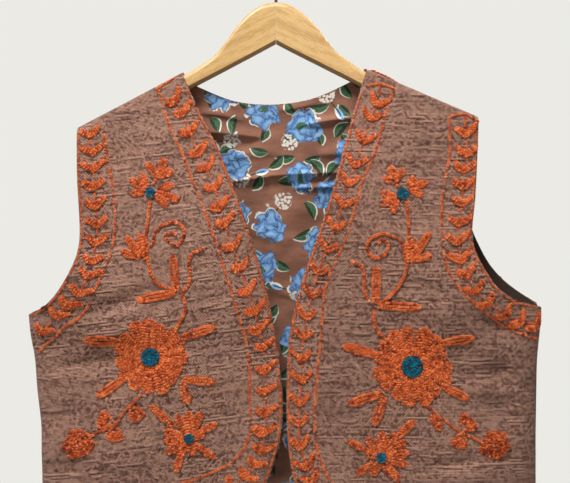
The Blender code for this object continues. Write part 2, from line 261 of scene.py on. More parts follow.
class Finish:
    """A material under construction."""

    def __init__(self, name, roughness, metallic=0.0, sheen=0.0, specular=0.5):
        self.material = bpy.data.materials.new(name)
        self.material.use_nodes = True
        self.tree = self.material.node_tree
        self.shader = self.tree.nodes["Principled BSDF"]
        self.shader.inputs["Roughness"].default_value = roughness
        self.shader.inputs["Metallic"].default_value = metallic
        self.shader.inputs["Sheen Weight"].default_value = sheen
        self.shader.inputs["Sheen Roughness"].default_value = 0.4
        self.shader.inputs["Specular IOR Level"].default_value = specular

    def put(self, socket, value):
        if isinstance(value, Value):
            self.tree.links.new(value.socket, socket)
        elif hasattr(value, "__len__") and len(value) == 3 and socket.type == "RGBA":
            socket.default_value = (*value, 1.0)
        else:
            socket.default_value = value

    def node(self, kind, *values, output=0, stops=None, named=None, **settings):
        """Add a node: first its settings, then its sockets, in their order or by name."""
        node = self.tree.nodes.new("ShaderNode" + kind)
        for setting, value in settings.items():
            setattr(node, setting, value)
        if stops:
            ramp = node.color_ramp.elements
            while len(ramp) < len(stops):
                ramp.new(0.5)
            for element, (place, colour) in zip(ramp, stops):
                element.position = place
                element.color = (*colour, 1.0)
        for socket, value in zip(node.inputs, values):
            self.put(socket, value)
        for socket_name, value in (named or {}).items():
            self.put(node.inputs[socket_name], value)
        return Value(self, node.outputs[output])

    def uv(self):
        """The piece's own weave map, in millimetres, as (along the weft, along the warp)."""
        split = self.node("SeparateXYZ", self.node("UVMap", uv_map=WEAVE_MAP))
        node = split.socket.node
        return Value(self, node.outputs[0]) * METRE, Value(self, node.outputs[1]) * METRE

    def point(self, x, y, z=0.0):
        return self.node("CombineXYZ", x, y, z)

    def noise(self, point, scale=1.0, detail=2.0):
        return self.node("TexNoise", named={"Vector": point, "Scale": scale, "Detail": detail})

    def mix(self, share, first, second):
        return self.node("MixRGB", named={"Fac": share, "Color1": first, "Color2": second})

    def colour(self, value):
        self.put(self.shader.inputs["Base Color"], value)

    def bump(self, height, distance):
        """Height runs from 0 to 1 and stands for this many millimetres."""
        relief = self.node("Bump", named={"Height": height, "Distance": distance * MM})
        self.put(self.shader.inputs["Normal"], relief)


print("patterns on cloth follow the map", WEAVE_MAP)

# %% [markdown]
# ## Slub cotton
# Slub cotton is a plain weave whose weft yarn is spun unevenly, so thick pale stretches come and go along
# each row, and each throws a thin shadow on the row below. Warp and weft cross one over the other, and every
# crossing has its own random tone, which gives the cloth its salt and pepper.

# %% Slub cotton material
WEFT_PITCH = 1.56  # in millimetres, from one row to the next
WARP_PITCH = 1.45
SLUB_REACH = 34.0  # how far a thick stretch runs along its row
SLUB_FROM = 0.62  # the share of the noise above which the yarn is thick
ROW_JUMP = 3.7  # far enough through the noise that two rows don't match
ROW_SWAY = 4.0  # how far a row wanders up and down over the width of a panel
THREAD_RELIEF = 0.50
CROSSING_DARK = (0.028, 0.010, 0.007)
CROSSING_MID = (0.195, 0.085, 0.056)
CROSSING_LIGHT = (0.600, 0.345, 0.252)
SLUB_COLOUR = (0.520, 0.290, 0.205)
SLUB_SHADOW = (0.042, 0.017, 0.011)


def slub_runs(cloth, along, row, plenty):
    """1 where this row's yarn is thick."""
    thickness = cloth.noise(cloth.point(along / SLUB_REACH, row * ROW_JUMP), detail=1.5)
    return (thickness + plenty).step(SLUB_FROM, SLUB_FROM + 0.03)


def slub_cotton():
    cloth = Finish("slub_cotton", roughness=0.92, sheen=0.10, specular=0.2)
    along, up = cloth.uv()
    up = up + (cloth.noise(cloth.point(along / 150.0, up / 150.0)) - 0.5) * ROW_SWAY
    row = (up / WEFT_PITCH).floor()
    column = (along / WARP_PITCH).floor()
    over = ((row + column) / 2.0).fract().step(0.24, 0.26)
    luck = cloth.node("TexWhiteNoise", named={"Vector": cloth.point(column, row)}, noise_dimensions="2D")
    row_luck = cloth.node("TexWhiteNoise", named={"W": row}, noise_dimensions="1D")

    patchy = cloth.noise(cloth.point(along / 75.0, up / 42.0), detail=2.0)
    plenty = (patchy - 0.5) * 0.22
    slub = slub_runs(cloth, along, row, plenty)
    shadow = slub_runs(cloth, along, row + 1.0, plenty) * (1.0 - slub)
    thin = slub_runs(cloth, along + 300.0, row + 50.0, plenty * 0.5)

    tone = over * 0.38 + luck * 0.46 + row_luck * 0.16
    stops = ((0.21, CROSSING_DARK), (0.49, CROSSING_MID), (0.77, CROSSING_LIGHT))
    woven = cloth.node("ValToRGB", tone, stops=stops)
    woven = cloth.mix(slub * 0.72, woven, SLUB_COLOUR)
    woven = cloth.mix(shadow * 0.60, woven, SLUB_SHADOW)
    # Where the yarn runs thin it leaves a groove, and the groove is painted with the shadow colour as painted
    # shade
    woven = cloth.mix(thin * 0.50, woven, SLUB_SHADOW)
    faded = cloth.noise(cloth.point(along / 110.0 + 7.0, up / 80.0), detail=3.0)
    woven = cloth.mix(faded.step(0.50, 0.72) * 0.20, woven, SLUB_COLOUR)
    cloth.colour(cloth.mix(faded.step(0.46, 0.28) * 0.25, woven, SLUB_SHADOW))

    row_place = (up / WEFT_PITCH).fract() - 0.5
    thread = (1.0 - (row_place * 2.0) ** 2.0) * (0.5 + 0.5 * over) + slub * 0.5 + luck * 0.3
    cloth.bump(thread - thin * 0.4 - shadow * 0.3, THREAD_RELIEF)
    return cloth.material


slub = slub_cotton()
print("slub cotton:", len(slub.node_tree.nodes), "nodes")

# %% [markdown]
# ## Printed lining
# The lining is a thin cotton with scattered blue roses, leaves and white blossom on a brown ground. A
# Voronoi texture with little randomness gives each motif its own cell, and the distance to the cell's middle
# becomes that motif's own coordinates. So one formula draws every rose, each turned its own way.

# %% Scattered motifs
GROUND = (0.320, 0.140, 0.085)
GROUND_DARK = (0.195, 0.078, 0.046)
ARMHOLE_PAINTED_SHADE = (0.050, 0.028, 0.020)
ARMHOLE_SHADE_START = 214.0  # from here outwards the lining is painted plain dark, as painted shade inside the armholes
ROSE = (0.190, 0.375, 0.640)
ROSE_DEEP = (0.125, 0.270, 0.530)
ROSE_LIGHT = (0.290, 0.490, 0.740)
INK = (0.018, 0.032, 0.100)
LEAF = (0.050, 0.125, 0.050)
LEAF_DARK = (0.012, 0.034, 0.014)
LEAF_LIGHT = (0.140, 0.250, 0.120)
CHALK = (0.700, 0.650, 0.580)


def scatter(cotton, along, up, cell, luck, turn, shift):
    """Each cell's own turned coordinates in millimetres, and three random numbers for it."""
    turn = math.radians(turn)
    across = (along * math.cos(turn) - up * math.sin(turn)) / cell + shift
    above = (along * math.sin(turn) + up * math.cos(turn)) / cell + shift
    place = cotton.point(across, above)
    cells = cotton.node(
        "TexVoronoi", output="Position", named={"Vector": place, "Scale": 1.0, "Randomness": luck},
        voronoi_dimensions="2D",
    )
    local = cotton.node("VectorMath", place, cells, operation="SUBTRACT")
    split = cotton.node("SeparateXYZ", local).socket.node
    x, y = Value(cotton, split.outputs[0]) * cell, Value(cotton, split.outputs[1]) * cell
    colour = Value(cotton, cells.socket.node.outputs["Color"])
    lucks = cotton.node("SeparateColor", colour).socket.node
    first, second, third = (Value(cotton, lucks.outputs[i]) for i in range(3))
    angle = first * (2 * math.pi)
    return x * angle.cos() + y * angle.sin(), y * angle.cos() - x * angle.sin(), second, third


def present(keep, left_out):
    """0 in the cells that get no motif, which are this share of them, and 1 in the others."""
    return keep.step(left_out, left_out + 0.01)


def lens(x, y, half_length, half_width):
    """1 inside a leaf that is pointed at both ends."""
    edge = (1.0 - (x / half_length) ** 2.0).high(0.0) * half_width
    return (edge - y.size()).step(0.0, 0.5)


print("print colours: ground, rose, leaf and chalk")

# %% Leaves and blossom
LEAF_HALF_LENGTH = 8.4  # in millimetres
LEAF_HALF_WIDTH = 5.0
LeafLayer = namedtuple("LeafLayer", "cell luck turn shift left_out")
LEAF_LAYERS = (
    LeafLayer(29.0, 0.60, 11.0, 0.0, 0.22),
    LeafLayer(37.0, 0.60, 71.0, 5.7, 0.20),
)


def draw_leaves(cotton, along, up, woven, layer):
    x, y, keep, size = scatter(cotton, along, up, layer.cell, layer.luck, layer.turn, layer.shift)
    there = present(keep, layer.left_out)
    half = size * 4.0 + LEAF_HALF_LENGTH
    ragged = (cotton.noise(cotton.point(x / 2.4, y / 2.4, keep * 30.0)) - 0.5) * 1.6
    bent = y + (x / 9.0) ** 2.0 * 1.8 + ragged
    green = lens(x, bent, half, LEAF_HALF_WIDTH) * there
    edge = lens(x - 1.0, bent - 1.5, half, LEAF_HALF_WIDTH) * there
    vein = (bent + (x * 1.1).sin() * 0.5).size().step(0.85, 0.25) * green
    woven = cotton.mix(edge, woven, CHALK)
    shade = cotton.mix((bent / 3.5 + ragged).step(-0.6, 0.9), LEAF_DARK, LEAF)
    woven = cotton.mix(green, woven, shade)
    return cotton.mix(vein * 0.5, woven, LEAF_LIGHT)


def draw_blossom(cotton, along, up, woven):
    x, y, keep, _ = scatter(cotton, along, up, cell=58.0, luck=0.45, turn=52.0, shift=3.4)
    there = present(keep, left_out=0.25)
    reach = (x ** 2.0 + (y - 6.0) ** 2.0) ** 0.5
    ragged = cotton.noise(cotton.point(x / 7.0, y / 7.0, keep * 9.0)) * 8.0
    dots = cotton.node(
        "TexVoronoi", named={"Vector": cotton.point(x / 3.3, y / 3.3), "Scale": 1.0}, voronoi_dimensions="2D",
    )
    cluster = (reach + ragged).step(14.5, 13.0) * dots.step(0.56, 0.40) * there
    stem = (x + (y / 14.0).sin() * 2.0).size().step(0.95, 0.45) * y.step(-22.0, -21.0) * y.step(-3.0, -4.0)
    bud = lens(y + 19.0, x - 2.6, 7.5, 2.8) * there
    woven = cotton.mix(lens(y + 18.0, x - 1.4, 8.4, 3.9) * there, woven, CHALK)
    woven = cotton.mix(bud, woven, ROSE)
    woven = cotton.mix(stem * there, woven, LEAF_DARK)
    return cotton.mix(cluster, woven, CHALK)


print("layers of leaves:", len(LEAF_LAYERS))

# %% Roses
ROSE_RADIUS = 14.5
ROSE_SQUASH = 1.12
ROSE_LOBES = 8.0
ROSE_WARP = 21.0  # how far the noise pulls a rose out of round


def draw_roses(cotton, along, up, woven):
    x, y, keep, size = scatter(cotton, along, up, cell=55.0, luck=0.42, turn=24.0, shift=0.35)
    there = present(keep, left_out=0.12)
    luck = keep * 40.0
    warp_x = cotton.noise(cotton.point(x / 15.0, y / 15.0, luck)) - 0.5
    warp_y = cotton.noise(cotton.point(x / 15.0 + 9.0, y / 15.0, luck)) - 0.5
    x = x + warp_x * ROSE_WARP
    y = y + warp_y * ROSE_WARP
    reach = (x ** 2.0 + (y * ROSE_SQUASH) ** 2.0) ** 0.5
    turn = cotton.node("Math", y, x, operation="ARCTAN2") / (2 * math.pi)
    jag = (turn * ROSE_LOBES + keep * 5.0 + warp_x * 1.5).fract()
    scallop = (1.0 - (jag * 2.0 - 1.0) ** 2.0) * 3.0
    radius = size * 3.5 + ROSE_RADIUS + scallop
    body = (radius - reach).step(-0.3, 0.3) * there
    patchy = cotton.noise(cotton.point(x / 11.0, y / 11.0, luck + 5.0)).step(0.46, 0.54)
    offset = ((x - 1.1) ** 2.0 + (y * ROSE_SQUASH - 1.4) ** 2.0) ** 0.5
    chalk = (radius + 0.6 - offset).step(-0.3, 0.3) * there * patchy
    rim = (radius - reach).step(1.5, 0.4) * body
    folds = {"Vector": cotton.point(x / 12.0 + luck, y / 9.0), "Scale": 1.0}
    petals = cotton.node(
        "TexVoronoi", output="Distance", named=folds, voronoi_dimensions="2D", feature="DISTANCE_TO_EDGE",
    )
    line = petals.step(0.042, 0.010)
    strokes = cotton.noise(cotton.point(x / 1.2, y / 4.0, luck), detail=1.0).step(0.51, 0.58)
    shade = cotton.mix(petals.step(0.02, 0.26), ROSE_DEEP, ROSE)
    shade = cotton.mix(petals.step(0.22, 0.46) * 0.7, shade, ROSE_LIGHT)
    shade = cotton.mix(strokes * petals.step(0.34, 0.10) * 0.65, shade, INK)
    shade = cotton.mix(line * 0.75, shade, INK)
    shade = cotton.mix(rim * 0.65, shade, INK)
    heart = (reach + strokes * 3.0 + warp_y * 8.0).step(5.6, 4.6) * keep.step(0.50, 0.52)
    shade = cotton.mix(heart, shade, LEAF)
    woven = cotton.mix(chalk, woven, CHALK)
    return cotton.mix(body, woven, shade)


print("rose: about %.0f mm across" % (2 * ROSE_RADIUS))

# %% Printed lining material
LINING_THREAD = 0.5


def printed_cotton():
    cotton = Finish("printed_cotton", roughness=0.72, sheen=0.08, specular=0.3)
    along, up = cotton.uv()
    worn = cotton.noise(cotton.point(along / 38.0, up / 24.0), detail=4.0).step(0.35, 0.7)
    woven = cotton.mix(worn, GROUND_DARK, GROUND)
    for layer in LEAF_LAYERS:
        woven = draw_leaves(cotton, along, up, woven, layer)
    woven = draw_blossom(cotton, along, up, woven)
    woven = draw_roses(cotton, along, up, woven)
    # Past that width the print is covered with plain dark colour: painted shade inside the armholes
    x = cotton.node("SeparateXYZ", cotton.node("TexCoord", output="Object")) * METRE
    cotton.colour(cotton.mix(x.size().step(ARMHOLE_SHADE_START, ARMHOLE_SHADE_START + 1.0), woven, ARMHOLE_PAINTED_SHADE))
    cross = (along * (math.pi / LINING_THREAD)).sin() * (up * (math.pi / LINING_THREAD)).sin()
    fine = cotton.noise(cotton.point(along / 9.0, up / 5.0), detail=3.0)
    cotton.bump(cross * 0.15 + fine, 0.5)
    return cotton.material


lining_print = printed_cotton()
print("printed cotton:", len(lining_print.node_tree.nodes), "nodes")

# %% [markdown]
# ## Wool yarn
# Tapestry wool is a soft two-ply yarn. Dye takes unevenly, so no two stitches match: each link carries a
# number, and that number chooses its place between a deep and a light tone. The number is also lowered
# towards the bottom of each link, as painted shade where the links overlap. Sheen stands for the fuzz.

# %% Wool materials
LINK_TONE = "tone"


def wool(name, deep, middle, light):
    yarn = Finish(name, roughness=0.95, sheen=0.20, specular=0.12)
    tone = yarn.node("Attribute", output="Fac", attribute_name=LINK_TONE)
    place = yarn.node("TexCoord", output="Object")
    fuzz = yarn.noise(place, scale=1400.0, detail=3.0)
    patch = yarn.noise(place, scale=45.0, detail=1.0)
    shade = tone * 0.76 + fuzz * 0.14 + patch * 0.10
    ramp = yarn.node("ValToRGB", shade, stops=((0.18, deep), (0.48, middle), (0.82, light)))
    yarn.colour(ramp)
    yarn.bump(fuzz, 0.3)
    return yarn.material


orange_wool = wool("orange_wool", (0.270, 0.030, 0.008), (0.820, 0.165, 0.038), (1.000, 0.380, 0.135))
teal_wool = wool("teal_wool", (0.001, 0.024, 0.042), (0.001, 0.130, 0.210), (0.015, 0.320, 0.450))
print("wool: orange and teal")

# %% [markdown]
# ## Cloth walls
# A solid wall is good for measuring and far too coarse for cloth. So each wall's outer skin is lifted off,
# its triangles are paired into squares and subdivided, and the creases are pressed into it before
# Solidify makes it a wall again. Apart from its creases, that keeps every sheet where the solids say.

# %% Lift a skin off a wall
FLAT_BEND = math.radians(50)  # a skin ends where two faces meet more sharply than this
CORNER_TURN = math.radians(38)
SLIVERED = ("front_right", "front_left")  # thin slivers at the underarms would crack these two skins
SLIVER = 0.12 * MM
SKIN_LEVELS = 2
SQUARE_TURN = math.radians(40)  # two triangles that differ more than this stay apart


def keep_corners(bm):
    """Mark where the border turns sharply, so that subdivision doesn't round it."""
    crease = bm.verts.layers.float.new("crease_vert")
    for vertex in bm.verts:
        border = [edge.other_vert(vertex).co - vertex.co for edge in vertex.link_edges if edge.is_boundary]
        if len(border) == 2 and border[0].angle(-border[1]) > CORNER_TURN:
            vertex[crease] = 1.0


def skin_of(node, facing):
    """A bmesh of the wall's large skin that faces -Y (facing -1) or +Y (facing +1)."""
    bm = bmesh.new()
    bm.from_mesh(frame["nodes"][node].data)
    bmesh.ops.remove_doubles(bm, verts=bm.verts, dist=1e-6)
    if node in SLIVERED:
        bmesh.ops.dissolve_degenerate(bm, edges=bm.edges, dist=SLIVER)
    bm.normal_update()
    seen = set()
    skins = []
    for start in bm.faces:
        if start in seen:
            continue
        seen.add(start)
        waiting = [start]
        skin = []
        while waiting:
            face = waiting.pop()
            skin.append(face)
            for edge in face.edges:
                if not edge.is_manifold or edge.calc_face_angle(0) > FLAT_BEND:
                    continue
                for other in edge.link_faces:
                    if other not in seen:
                        seen.add(other)
                        waiting.append(other)
        skins.append(skin)
    largest = sorted(skins, key=len)[-2:]
    kept = set(max(largest, key=lambda skin: facing * sum(f.normal.y * f.calc_area() for f in skin)))
    bmesh.ops.delete(bm, geom=[face for face in bm.faces if face not in kept], context="FACES")
    bmesh.ops.join_triangles(
        bm, faces=bm.faces, angle_face_threshold=SQUARE_TURN, angle_shape_threshold=SQUARE_TURN,
    )
    keep_corners(bm)
    return bm


def evaluated_bmesh(obj):
    """The object's mesh with its modifiers on, as a bmesh, and the object itself is removed."""
    graph = bpy.context.evaluated_depsgraph_get()
    bm = bmesh.new()
    bm.from_object(obj, graph)
    mesh = obj.data
    bpy.data.objects.remove(obj)
    bpy.data.meshes.remove(mesh)
    return bm


def finer(bm):
    """The same skin subdivided, with its corners kept."""
    obj = add_object("finer", mesh_of(bm, "finer"))
    smooth = obj.modifiers.new("finer", "SUBSURF")
    smooth.levels = SKIN_LEVELS
    smooth.render_levels = SKIN_LEVELS
    smooth.boundary_smooth = "PRESERVE_CORNERS"
    bpy.context.view_layer.update()
    return evaluated_bmesh(obj)


print("skins are subdivided %d times" % SKIN_LEVELS)

# %% [markdown]
# ## Creases
# Creases are what makes cloth look like cloth. Each one here is a line with a width and a rise in
# millimetres, placed one at a time. It is strongest in the middle of its run and fades towards both ends,
# and a bow bends it, because no real crease is straight. A fold that hangs over has a steep lower side.

# %% Crease tables
def rows_of(kind, *rows):
    """A table: every row becomes one of this kind, with its columns named."""
    return [kind(*row) for row in rows]


Crease = namedtuple("Crease", "x0 z0 x1 z1 width rise bow steep", defaults=(1.0,))
CREASE_END = 0.42  # a crease fades out about this share of its run from its middle

RIGHT_FRONT_CREASES = rows_of(
    Crease,
    (-266, -368, -150, -346, 24, 4.0, 0), (-140, -428, -276, -444, 60, -10.0, 0, 0.45),
    (-206, -394, -112, -360, 9, -4.8, 4), (-180, -399, -124, -384, 7, 3.2, 3),
    (-180, -402, -108, -383, 6, -3.8, 2), (-196, -419, -150, -404, 7, 2.6, 3),
    (-248, -452, -166, -438, 9, -4.2, 4), (-214, -467, -160, -457, 6, 2.4, -3),
    (-246, -504, -196, -487, 12, -4.0, 4), (-176, -488, -124, -474, 9, 2.0, 3),
    (-246, -566, -202, -546, 13, -4.4, 5), (-214, -553, -116, -545, 12, 1.8, -4),
    (-178, -248, -148, -212, 9, -2.6, -4), (-142, -216, -102, -206, 10, 1.5, 3),
    (-172, -300, -162, -362, 12, -1.8, -6), (-130, -328, -110, -352, 8, -1.6, 3),
    (-70, -300, -92, -352, 8, 1.4, 4), (-60, -430, -46, -520, 9, 1.3, -5),
    (-118, -560, -112, -610, 11, 1.8, 3),
)
LEFT_FRONT_CREASES = rows_of(
    Crease,
    (176, -354, 264, -368, 22, 3.0, 0), (282, -432, 166, -416, 60, -9.0, 0, 0.42),
    (196, -432, 270, -430, 12, 3.5, 2), (200, -474, 270, -478, 10, 3.5, 2),
    (182, -390, 246, -413, 10, -4.0, -3), (226, -417, 262, -422, 6, 2.0, 2),
    (128, -364, 200, -380, 10, -3.4, 4), (136, -345, 186, -353, 9, 1.6, 3),
    (184, -426, 224, -437, 9, -2.8, 3), (186, -456, 268, -451, 9, -4.0, 4),
    (194, -466, 244, -470, 7, 2.4, 3), (200, -480, 262, -493, 12, -4.2, 5),
    (216, -500, 266, -514, 8, -3.2, 3), (146, -553, 220, -540, 7, -3.4, 4),
    (146, -562, 250, -557, 8, 2.4, 3), (222, -535, 268, -549, 9, -3.6, 3),
    (144, -199, 170, -242, 6, -3.6, 2), (118, -214, 146, -232, 10, 1.4, 3),
    (182, -300, 172, -350, 9, 1.5, -4), (84, -262, 92, -330, 8, -1.5, 5), (62, -400, 74, -480, 9, 1.3, 5),
    (60, -540, 70, -606, 9, 1.4, -4),
)
BACK_CREASES = rows_of(
    Crease,
    (-120, -250, -20, -236, 9, 2.2, 4), (26, -238, 130, -256, 9, 2.0, -5),
    (-216, -404, -120, -352, 10, 2.4, -8), (-226, -440, -150, -400, 8, 2.0, 6),
    (226, -398, 120, -350, 10, 2.4, 8), (238, -430, 156, -396, 8, 1.8, -6),
    (-24, -330, -30, -470, 12, 2.0, 7), (44, -420, 52, -560, 12, 2.2, -6),
    (-150, -500, -158, -620, 11, 2.4, 5), (160, -510, 170, -622, 11, 2.2, 6),
    (-96, -300, -60, -330, 8, 1.6, 3),
)
LINING_CREASES = rows_of(
    Crease,
    (-66, -256, 88, -243, 4.5, 5.6, -4, 0.15), (16, -259, 88, -256, 4.0, 3.4, 1, 0.30),
    (-88, -199, -14, -205, 8.0, 5.2, -1, 0.15), (24, -192, 98, -184, 4.5, 4.6, -2, 0.40),
    (2, -174, 46, -165, 5.0, 2.2, 2, 0.5), (-88, -178, -34, -186, 5.0, 2.0, -2, 0.5),
    (40, -222, 96, -214, 7.0, 2.6, 3, 0.5), (-56, -228, 8, -222, 7.0, 2.0, -3, 0.6),
    (-44, -300, 34, -318, 7.0, 3.0, 5, 0.45), (10, -282, 70, -300, 6.0, 2.2, -4, 0.5),
    (-14, -362, 24, -378, 7.0, 2.6, 4, 0.5), (-120, -330, -60, -352, 8.0, 2.2, 5),
    (90, -330, 150, -350, 8.0, 2.2, -5), (-150, -440, -60, -470, 9.0, 2.4, 6),
    (50, -450, 160, -430, 9.0, 2.4, 6), (-80, -560, 80, -580, 10.0, 2.4, 7),
)


def crease_rise(creases, x, z):
    """How far the creases lift the cloth here, in millimetres."""
    total = 0.0
    for crease in creases:
        run_x, run_z = crease.x1 - crease.x0, crease.z1 - crease.z0
        length = math.hypot(run_x, run_z)
        place = ((x - crease.x0) * run_x + (z - crease.z0) * run_z) / length**2
        if not -0.5 < place < 1.5:
            continue  # nothing is left of it that far past its ends
        aside = ((x - crease.x0) * run_z - (z - crease.z0) * run_x) / length
        aside -= crease.bow * math.sin(math.pi * min(max(place, 0), 1))
        strength = math.exp(-(((place - 0.5) / CREASE_END) ** 4))
        width = crease.width * (crease.steep if aside > 0 else 1.0)
        total += crease.rise * strength * math.exp(-((aside / width) ** 2))
    return total


CREASE_TABLES = (RIGHT_FRONT_CREASES, LEFT_FRONT_CREASES, BACK_CREASES, LINING_CREASES)
print("creases:", sum(len(table) for table in CREASE_TABLES))

# %% [markdown]
# ## The weave map
# A weave follows the cloth and not the room, so each sheet gets a map that runs along its weft and warp.
# Round the side folds, and where the back turns over the shoulders, the map counts the way in depth as well.
# Each panel also has its own small tilt.

# %% Panels and their weave map
FOLD_START = 190.0  # from here outwards a panel turns round to its side seam
FOLD_EASE = 26.0
FOLD_DEPTH = 1.1  # how much a step back counts there, against a step aside
SHOULDER_START = -240.0  # and from here up the back and its lining turn over the shoulder
SHOULDER_EASE = 40.0
Panel = namedtuple("Panel", "name node facing depth wall tilt turn creases finishes slot")

PANELS = rows_of(
    Panel,
    ("right_front_cloth", "front_right", -1, -38, 1.9, 7.0, 0.0, RIGHT_FRONT_CREASES, "cloth print", "cloth"),
    ("left_front_cloth", "front_left", -1, -38, 1.9, -0.5, 0.0, LEFT_FRONT_CREASES, "cloth print", "cloth"),
    ("back_cloth", "back", 1, 14, 1.1, 0.0, 1.3, BACK_CREASES, "cloth", "cloth"),
    ("lining_cloth", "back_lining", -1, 12, 0.9, 4.0, 0.5, LINING_CREASES, "print", "lining"),
)


def ease(share):
    """0 to 1 with a soft start and end."""
    share = min(max(share, 0.0), 1.0)
    return share * share * (3 - 2 * share)


def weave_place(point, panel):
    """The point's place along the weft and the warp, in metres."""
    x, y, z = point / MM
    past = abs(x) - FOLD_START
    if past > 0:
        turned = math.hypot(past, FOLD_DEPTH * (y - panel.depth)) - past
        x = math.copysign(abs(x) + ease(past / FOLD_EASE) * turned, x)
    z += panel.turn * ease((z - SHOULDER_START) / SHOULDER_EASE) * abs(y - panel.depth)
    tilt = math.radians(panel.tilt)
    return ((x * math.cos(tilt) + z * math.sin(tilt)) * MM, (z * math.cos(tilt) - x * math.sin(tilt)) * MM)


print("panels:", ", ".join(panel.name for panel in PANELS))

# %% Build the four sheets
FINISHES = {"cloth": slub, "print": lining_print}
CALM_ABOVE = -178.0  # the fronts and the back lie smooth over the hanger from here up
CALM_FADE = 30.0
EDGE_CALM = 264.0  # and at the side seams, where hollows fade out from further in than ridges
HOLLOW_FADE = 22.0
RIDGE_FADE = 14.0
FINE_REACH = 104.0  # the lining's sharp folds lie within this reach of the middle, and between these heights
FINE_LOW = -276.0
FINE_HIGH = -160.0


def refine_folds(bm):
    """Cut each square in nine where folds are too sharp for the rest of the mesh."""
    inside = {
        vertex for vertex in bm.verts
        if abs(vertex.co.x) < FINE_REACH * MM and FINE_LOW * MM < vertex.co.z < FINE_HIGH * MM
    }
    edges = [edge for edge in bm.edges if inside.issuperset(edge.verts)]
    bmesh.ops.subdivide_edges(bm, edges=edges, cuts=2, use_grid_fill=True)


def press_creases(bm, panel):
    bm.normal_update()
    moves = []
    for vertex in bm.verts:
        x, _, z = vertex.co / MM
        shoulder = ease((CALM_ABOVE - z) / CALM_FADE) if panel.node != "back_lining" else 1.0
        rise = crease_rise(panel.creases, x, z) * shoulder
        rise *= ease((EDGE_CALM - abs(x)) / (HOLLOW_FADE if rise < 0 else RIDGE_FADE))
        if panel.facing > 0 or panel.node == "back_lining":
            rise = max(rise, 0.0)
        moves.append(vertex.normal * rise * MM)
    for vertex, move in zip(bm.verts, moves):
        vertex.co += move


def make_panel(panel):
    bm = finer(skin_of(panel.node, panel.facing))
    if panel.node == "back_lining":
        refine_folds(bm)
    press_creases(bm, panel)
    weave = bm.loops.layers.uv.new(WEAVE_MAP)
    for face in bm.faces:
        face.smooth = True
        for loop in face.loops:
            loop[weave].uv = weave_place(loop.vert.co, panel)
    area = sum(face.calc_area() for face in bm.faces)
    mesh = mesh_of(bm, panel.name)
    for finish in panel.finishes.split():
        mesh.materials.append(FINISHES[finish])
    obj = add_object(panel.name, mesh)
    wall = obj.modifiers.new("wall", "SOLIDIFY")
    wall.thickness = panel.wall * MM
    wall.offset = -1
    wall.material_offset = len(mesh.materials) - 1
    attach(obj, BODY)
    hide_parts(panel.node)
    print("%s: %.3f m2, %d faces" % (panel.name, area, len(mesh.polygons)))
    return obj


sheets = {panel.node: make_panel(panel) for panel in PANELS}

# %% [markdown]
# ## One link of chain stitch
# Chain stitch is a row of small loops, each held down by the next. So one loop is modelled, as a ring of
# yarn that is round at its head and pinched at its tail, and every row repeats it. The head stands a little
# higher than the tail, because it rests on the link before.

# %% The link
LINK_LENGTH = 4.5  # this and the other lengths are in millimetres
LINK_WIDTH = 3.3
YARN_RADIUS = 0.68
LINK_STEPS = 8
LINK_SIDES = 4
TAIL_PINCH = 0.45
HEAD_LIFT = 0.7
DRAFT_YARN = 0.25  # the yarn's radius on the round ring that the link is shaped from
PAINTED_PIT_SHADE = 0.75  # how much painted shade darkens the yarn towards the bottom of a link, where the links overlap
PIT_CURVE = 0.8
SAME_PLACE = 0.001 * MM  # two places that are closer than this count as one when parts are sorted


def sort_by_place(parts, place):
    """Spin numbers its parts in another order in each run. Sorted by place, they come out the same."""
    ranked = sorted(parts, key=lambda part: [round(c / SAME_PLACE) for c in place(part)])
    for index, part in enumerate(ranked):
        part.index = index
    parts.sort()


def make_link():
    """The mesh of one link that lies on z = 0, with its head towards +X."""
    bm = bmesh.new()
    side = Matrix.Translation((1, 0, 0)) @ Matrix.Rotation(math.radians(90), 4, "X")
    section = bmesh.ops.create_circle(bm, segments=LINK_SIDES, radius=DRAFT_YARN, matrix=side)
    bmesh.ops.spin(
        bm, geom=section["verts"] + list(bm.edges), cent=(0, 0, 0), axis=(0, 0, 1),
        angle=2 * math.pi, steps=LINK_STEPS, use_merge=True,
    )
    bmesh.ops.remove_doubles(bm, verts=bm.verts, dist=1e-4)
    reach = LINK_LENGTH / 2 - YARN_RADIUS
    spread = LINK_WIDTH / 2 - YARN_RADIUS
    for vertex in bm.verts:
        middle = Vector((vertex.co.x, vertex.co.y, 0)).normalized()
        out = (vertex.co - middle) / DRAFT_YARN * YARN_RADIUS
        pinch = 1 - TAIL_PINCH * max(-middle.x, 0)
        lift = HEAD_LIFT * middle.x + YARN_RADIUS
        vertex.co = Vector((middle.x * reach, middle.y * spread * pinch, lift)) + out
    bmesh.ops.recalc_face_normals(bm, faces=bm.faces)
    bmesh.ops.scale(bm, vec=(MM, MM, MM), verts=bm.verts)
    sort_by_place(bm.verts, lambda vertex: vertex.co)
    sort_by_place(bm.faces, lambda face: face.calc_center_median())
    for face in bm.faces:
        face.smooth = True
    mesh = mesh_of(bm, "link")
    mesh.attributes.new(LINK_TONE, "FLOAT", "POINT")
    return mesh


link = make_link()
link_shape = [vertex.co.copy() for vertex in link.vertices]
link_top = max(place.z for place in link_shape)
# Painted shade: each vertex's share of the link's tone falls towards the bottom of the link
painted_link_shading = [1 - PAINTED_PIT_SHADE * (1 - max(place.z, 0.0) / link_top) ** PIT_CURVE for place in link_shape]
print("link: %d faces" % len(link.polygons))

# %% [markdown]
# ## Rows of stitches
# A motif is drawn flat, as it was chalked on the cloth, and then laid on the curved sheet: each point is
# sent towards the cloth along a straight line until it lands. A row is a list of such points, and links are
# set along it at even steps. Where a line misses the cloth, the row ends.

